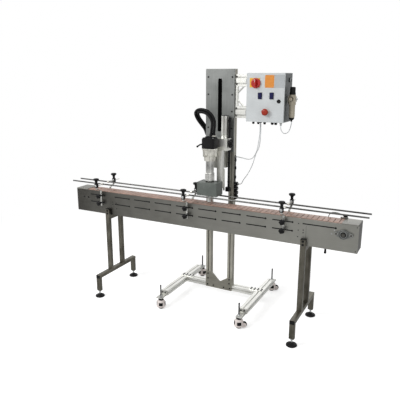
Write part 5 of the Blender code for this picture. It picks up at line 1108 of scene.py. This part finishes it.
def doorFurniture():
    shapes = [(onDoor(low, high, door["plateDepth"]), finish) for finish, low, high in door["plates"]]
    shapes += [screwHead((x, door["front"] - door["plateDepth"], z), toFront, 2.2, 1.2, "zincSteel")
               for _, low, high in door["plates"][1:] for x in (low[0] + 5, high[0] - 5)
               for z in (low[1] + 5, high[1] - 5)]
    a, b = door["displaySize"]
    for x, z in door["displays"]:
        shapes.append((onDoor((x - a / 2, z - b / 2), (x + a / 2, z + b / 2), 5, 3), "blackNylon"))
        shapes.append((onDoor((x - a / 2 + 1.5, z - b / 2 + 1.5), (x + a / 2 - 1.5, z + b / 2 - 1.5), 5.6, 2),
                       "blueGlass"))
        for k in (-1, 0, 1):
            spot = (x + k * 7.5, door["front"] - 5.5, z - b / 2 + 9)
            shapes.append((lathe(((0, 0), (2.6, 0), (2.4, 1.2), (0, 1.4)), spot, toFront, 16), "blackNylon"))
    x, z = door["stop"]
    shapes.append((lathe(((0, 0), (17.5, 0), (17.5, 4.5), (15, 6.5), (13.5, 6.8), (13.5, 5), (0, 5)),
                         (x, door["front"], z), toFront, 40), "yellowLaminate"))
    x, z = door["lock"]
    shapes.append((lathe(((10.2, 0), (13.5, 0), (13.5, 3), (12.5, 4.2), (10.2, 4.2)), (x, door["front"], z), toFront,
                         36, closed=True), "blackNylon"))
    addPiece("doorPlates", "door", shapes, 0.5, segments=1)

    face = door["front"]
    x, z = door["switch"]
    dial = ((0, 11), (15, 11), (18, 12.4), (30, 12.4), (33.5, 10.5), (35, 8.5), (35, 3), (34.5, 1), (6, 1), (6, -6),
            (0, -6))
    switch = [(lathe(dial, (x, face, z), toFront, 60), "redPlastic")]
    grip = roundRect((x - 7.5, x + 7.5), (z - 29, z + 29), 6.8, 7)
    tip = (grip - (x, z)) * (0.62, 0.95) + (x, z)
    cloud = np.concatenate([np.insert(grip, 1, face - 10.5, 1), np.insert(grip, 1, face - 24, 1),
                            np.insert(tip, 1, face - 30, 1)])
    count = len(grip)
    switch.append(((cloud, gridFaces(3, count) + [list(range(count)), list(range(2 * count, 3 * count))]),
                   "redPlastic"))
    switch.append((slab((x - 1.6, face - 30.6, z + 8), (x + 1.6, face - 29.5, z + 25), 1.2, "xz"), "whiteDial"))
    addPiece("mainSwitch", "main_switch", switch, standsFor=("main_switch",), sharp=32)

    x, z = door["stop"]
    profile = ((0, 34), (8, 33.8), (15, 32.6), (20.5, 30), (23.5, 26.8), (24.5, 23.5), (24, 20.5), (22.5, 19),
               (15, 17), (13, 15), (13, 9), (6, 9), (6, -6), (0, -6))
    stop = [(lathe(profile, (x, face, z), toFront, 56), "signalRed")]
    addPiece("eStop", "e_stop", stop, standsFor=("e_stop",), sharp=40)

    x, z = door["lock"]
    key = ((0, 5.2), (3, 5.2), (3.2, 6), (9, 6), (9.9, 5), (10, 0.7), (6, 0.7), (6, -9), (0, -9))
    lock = [(lathe(key, (x, face, z), toFront, 36), "blackNylon"),
            (slab((x - 0.8, face - 6.2, z - 4.5), (x + 0.8, face - 4.5, z + 4.5), 0.6, "xz"), "blackNylon"),
            (slab((x - 5, face + 4.6, z - 4), (x + 5, face + 8.4, z + 30), 3, "xz"), "zincSteel")]
    addPiece("keyLock", "key_lock", lock, standsFor=("key_lock",))


doorFurniture()


def airUnit():
    unitX, unitY, half, top = unit["x"], unit["y"], unit["half"], unit["top"]
    body = [(slab((unitX - half, unitY - half, top - 50), (unitX + half, unitY + half, top - 12), 6),
             "beigePolycarbonate"),
            (lathe(((0, top - 14), (24.5, top - 14), (24.5, top - 2), (22.5, top), (10.8, top), (10.8, top - 10),
                    (0, top - 10)), (unitX, unitY, 0), up, 40), "beigePolycarbonate"),
            (lathe(((0, top - 49), (25.5, top - 49), (26, top - 52), (26, top - 68), (24, top - 72), (0, top - 72)),
                   (unitX, unitY, 0), up, 48, lobes=12, depth=0.02), "beigePolycarbonate")]
    bowl = [(0, top - 70), (21.5, top - 70)]
    for k in range(5):
        z = top - 86 - k * 12.5
        bowl += [(21.5, z + 3), (20.5, z), (21.5, z - 3)]
    bowl += [(21.2, 1588), (19, 1576), (0, 1576)]
    body.append((lathe([(0, 1577), (19.2, 1577), (19, 1570), (12.5, 1560.5), (6.5, 1559.5), (6.2, 1548), (0, 1548)],
                       (unitX, unitY, 0), up, 36), "blackNylon"))
    body.append((lathe(bowl, (unitX, unitY, 0), up, 40), "beigePolycarbonate"))
    gx, gz, gy = unitX - 2, top - 30, unitY - half
    body.append((lathe(((0, -2), (13.5, -2), (15, 1), (15, 11.2), (13.8, 12), (12.8, 11.4), (12.8, 10), (0, 10)),
                       (gx, gy, gz), toFront, 40), "blackNylon"))
    body.append((lathe(((0, 9.8), (12.7, 9.8), (12.7, 10.4), (0, 10.6)), (gx, gy, gz), toFront, 40),
                 "beigePolycarbonate"))
    body.append((slab((gx - 0.6, gy - 11.3, gz - 2), (gx + 0.6, gy - 10.4, gz + 9.5), 0.5, "xz"), "redPlastic"))
    body.append((lathe(((0, -2), (9.8, -2), (9.8, 4), (8, 6), (8, 10), (5, 10), (4.5, 4), (0, 4)),
                       (unitX + half, unitY, gz), toRight, 6), "zincSteel"))
    body.append((slab((628.3, unitY - 18, top - 60), (unitX - half + 2, unitY + 18, top - 20), 4, "yz"),
                 "milledAluminium"))
    addPiece("airUnit", "frame", body, 0.6, standsFor=("air_unit",), segments=1)
    grip = ((0, 54), (12.5, 54), (13, 52.5), (16.5, 52.5), (18.5, 51), (19.3, 48), (19.3, 18), (20, 15), (21.2, 12),
            (21.5, 1), (10, 1), (10, -11), (0, -11))
    addPiece("regulatorKnob", "regulator_knob",
             [(lathe(grip, (unitX, unitY, top), up, 96, lobes=24, depth=0.018), "blackNylon")],
             standsFor=("regulator_knob",), sharp=50)


airUnit()


def valveStack():
    left, y, high, low, pitch = (valves[key] for key in ("left", "y", "high", "low", "pitch"))
    foot = low - (valves["count"] - 0.5) * pitch
    shapes = [(slab((left, y - 10, foot - 4), (left + 3, y + 10, high + 12), 2, "yz"), "blackNylon")]
    for k in range(valves["count"]):
        z = foot + k * pitch
        shapes.append((slab((left + 0.5, y - 18, z), (left + 20, y + 18, z + 32), 3, "yz"), "blackNylon"))
        shapes.append((slab((left + 19.5, y - 14.5, z + 3), (left + 26, y + 14.5, z + 29), 3, "yz"), "blackNylon"))
        for dy in (-9, 9):
            if k < valves["count"] - 1:
                shapes.append((lathe(((0, 0), (4.5, 0), (4.5, 3), (2.8, 3), (2.8, 1), (0, 1)),
                                     (left + 26, y + dy, z + 16), toRight, 20), "zincSteel"))
        shapes.append(screwHead((left + 10, y - 18, z + 16), toFront, 2.8, 1.5, "zincSteel"))
    shapes.append((lathe(((0, 1), (7.5, 1), (7.5, 6.5), (7, 7), (7, 11.8), (4.5, 12), (0, 12)), (left, y, high),
                         toRight, 28), "zincSteel"))
    shapes.append((lathe(((0, -2), (7.5, -2), (7.5, 6.5), (7, 7), (7, 11.8), (4.5, 12), (0, 12)), (left + 26, y, low),
                         toRight, 28), "zincSteel"))
    for z in (1075, 1150, 1215):
        shapes.append((slab((left + 3, y - 7, z - 12), (left + 10, y + 7, z + 12), 2, "yz"), "blackNylon"))
    addPiece("valveStack", "frame", shapes, 0.6, standsFor=("valve_block",), segments=1)


valveStack()
print("cabinet and air fittings made")


# levelling casters

caster = dict(along=349, out=375, trail=39, wheel=24, width=31,
              turns=dict(front_left=118, front_right=28, rear_left=150, rear_right=25))


def casters():
    w, axle = caster["trail"], caster["wheel"] + 2
    # the cheek is a flat arm: a disc over the hub joined to the round housing by a tapering web
    t = np.linspace(math.radians(-150), math.radians(105), 22)
    cheek = [(w + 18.5 * math.cos(a), axle + 18.5 * math.sin(a)) for a in t] + [(22, 60), (6, 64), (6, 14), (16, 13)]
    bun = ((0, 12.5), (27.5, 12.5), (33.5, 14.5), (37, 19.5), (37.8, 27), (36.2, 36), (35, 40), (34.5, 54),
           (32.5, 63), (27.5, 69), (23.5, 73.8), (0, 73.8))
    for place, degrees in caster["turns"].items():
        across = -1 if place.endswith("left") else 1
        away = -1 if place.startswith("front") else 1
        spot = np.array((stand["x"] + across * caster["along"], stand["y"] + away * caster["out"], 0))
        shapes = []
        for side in (-1, 1):
            low, high = sorted((side * 12.2, side * 18.2))
            shapes.append((prism(cheek, "xz", low, high), "paleNylon"))
            boss = ((0, 0), (10, 0), (9.5, 3), (6, 4.6), (5, 4.6), (4.5, 3), (0, 3))
            shapes.append((lathe(boss, (w, side * 17.8, axle), (0, side, 0), 32), "paleNylon"))
        shapes.append((lathe(bun, (0, 0, 0), up, 48), "paleNylon"))
        for facing in (90, 180, 270):
            t = np.radians(np.linspace(facing - 27, facing + 27, 14))
            arc = np.stack([np.cos(t), np.sin(t)], 1)
            shapes.append((prism(np.concatenate([37.2 * arc, 22 * arc[::-1]]), "xy", 30, 57), "blackNylon"))
        shapes.append((lathe(((0, 0), (18.5, 0), (20, 1.6), (20, 6.2), (18, 8), (0, 8)), (0, 0, 0), up, 40),
                       "blackRubber"))
        shapes.append((lathe(threaded(9.2, 7, 16, 2, 0.6), (0, 0, 0), up, 24), "zincSteel"))
        swivel = ((0, 72.5), (20.5, 72.5), (20.5, 77), (18.5, 79.5), (16.5, 80), (16.5, 84.5), (20, 85), (20, 87.7),
                  (0, 87.7))
        shapes.append((lathe(swivel, (0, 0, 0), up, 40), "blackNylon"))
        over = stand["armHigh"] + 0.3
        shapes.append((plainDisc(15, over, over + 2, (0, 0, 0), up, 32), "zincSteel"))
        shapes.append(hexHead((0, 0, over + 2), up, 10.5, 8))
        shapes.append((lathe(threaded(6, 86, 205, 2.6, 0.7), (0, 0, 0), up, 20), "blackOxide"))
        label = "".join(part.capitalize() for part in place.split("_"))
        addPiece("caster" + label, "caster_" + place,
                 [(moved(turnedRound(shape, degrees), spot), finish) for shape, finish in shapes],
                 1.4, standsFor=("caster_" + place,), segments=2)
        r = caster["wheel"]
        tyre = [(15.5, -9.2), (r - 3.5, -9.8), (r - 1, -8), (r, -4.5), (r, 4.5), (r - 1, 8), (r - 3.5, 9.8),
                (15.5, 9.2)]
        hub = [(0, -10.2), (5, -10.2), (6, -7), (13, -6), (15, -8.8), (16.5, -9), (16.5, 9), (15, 8.8), (13, 6),
               (6, 7), (5, 10.2), (0, 10.2)]
        pin = [(0, -21.5), (3.6, -21.5), (4, -21), (4, 21), (3.6, 21.5), (0, 21.5)]
        wheel = [(lathe(tyre, (w, 0, axle), (0, 1, 0), 48, closed=True), "blackRubber"),
                 (lathe(hub, (w, 0, axle), (0, 1, 0), 40), "paleNylon"),
                 (lathe(pin, (w, 0, axle), (0, 1, 0), 20), "zincSteel")]
        addPiece("wheel" + label, "wheel_" + place,
                 [(moved(turnedRound(shape, degrees), spot), finish) for shape, finish in wheel],
                 standsFor=("caster_wheel_" + place,))


casters()
print("casters made")

low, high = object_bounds()
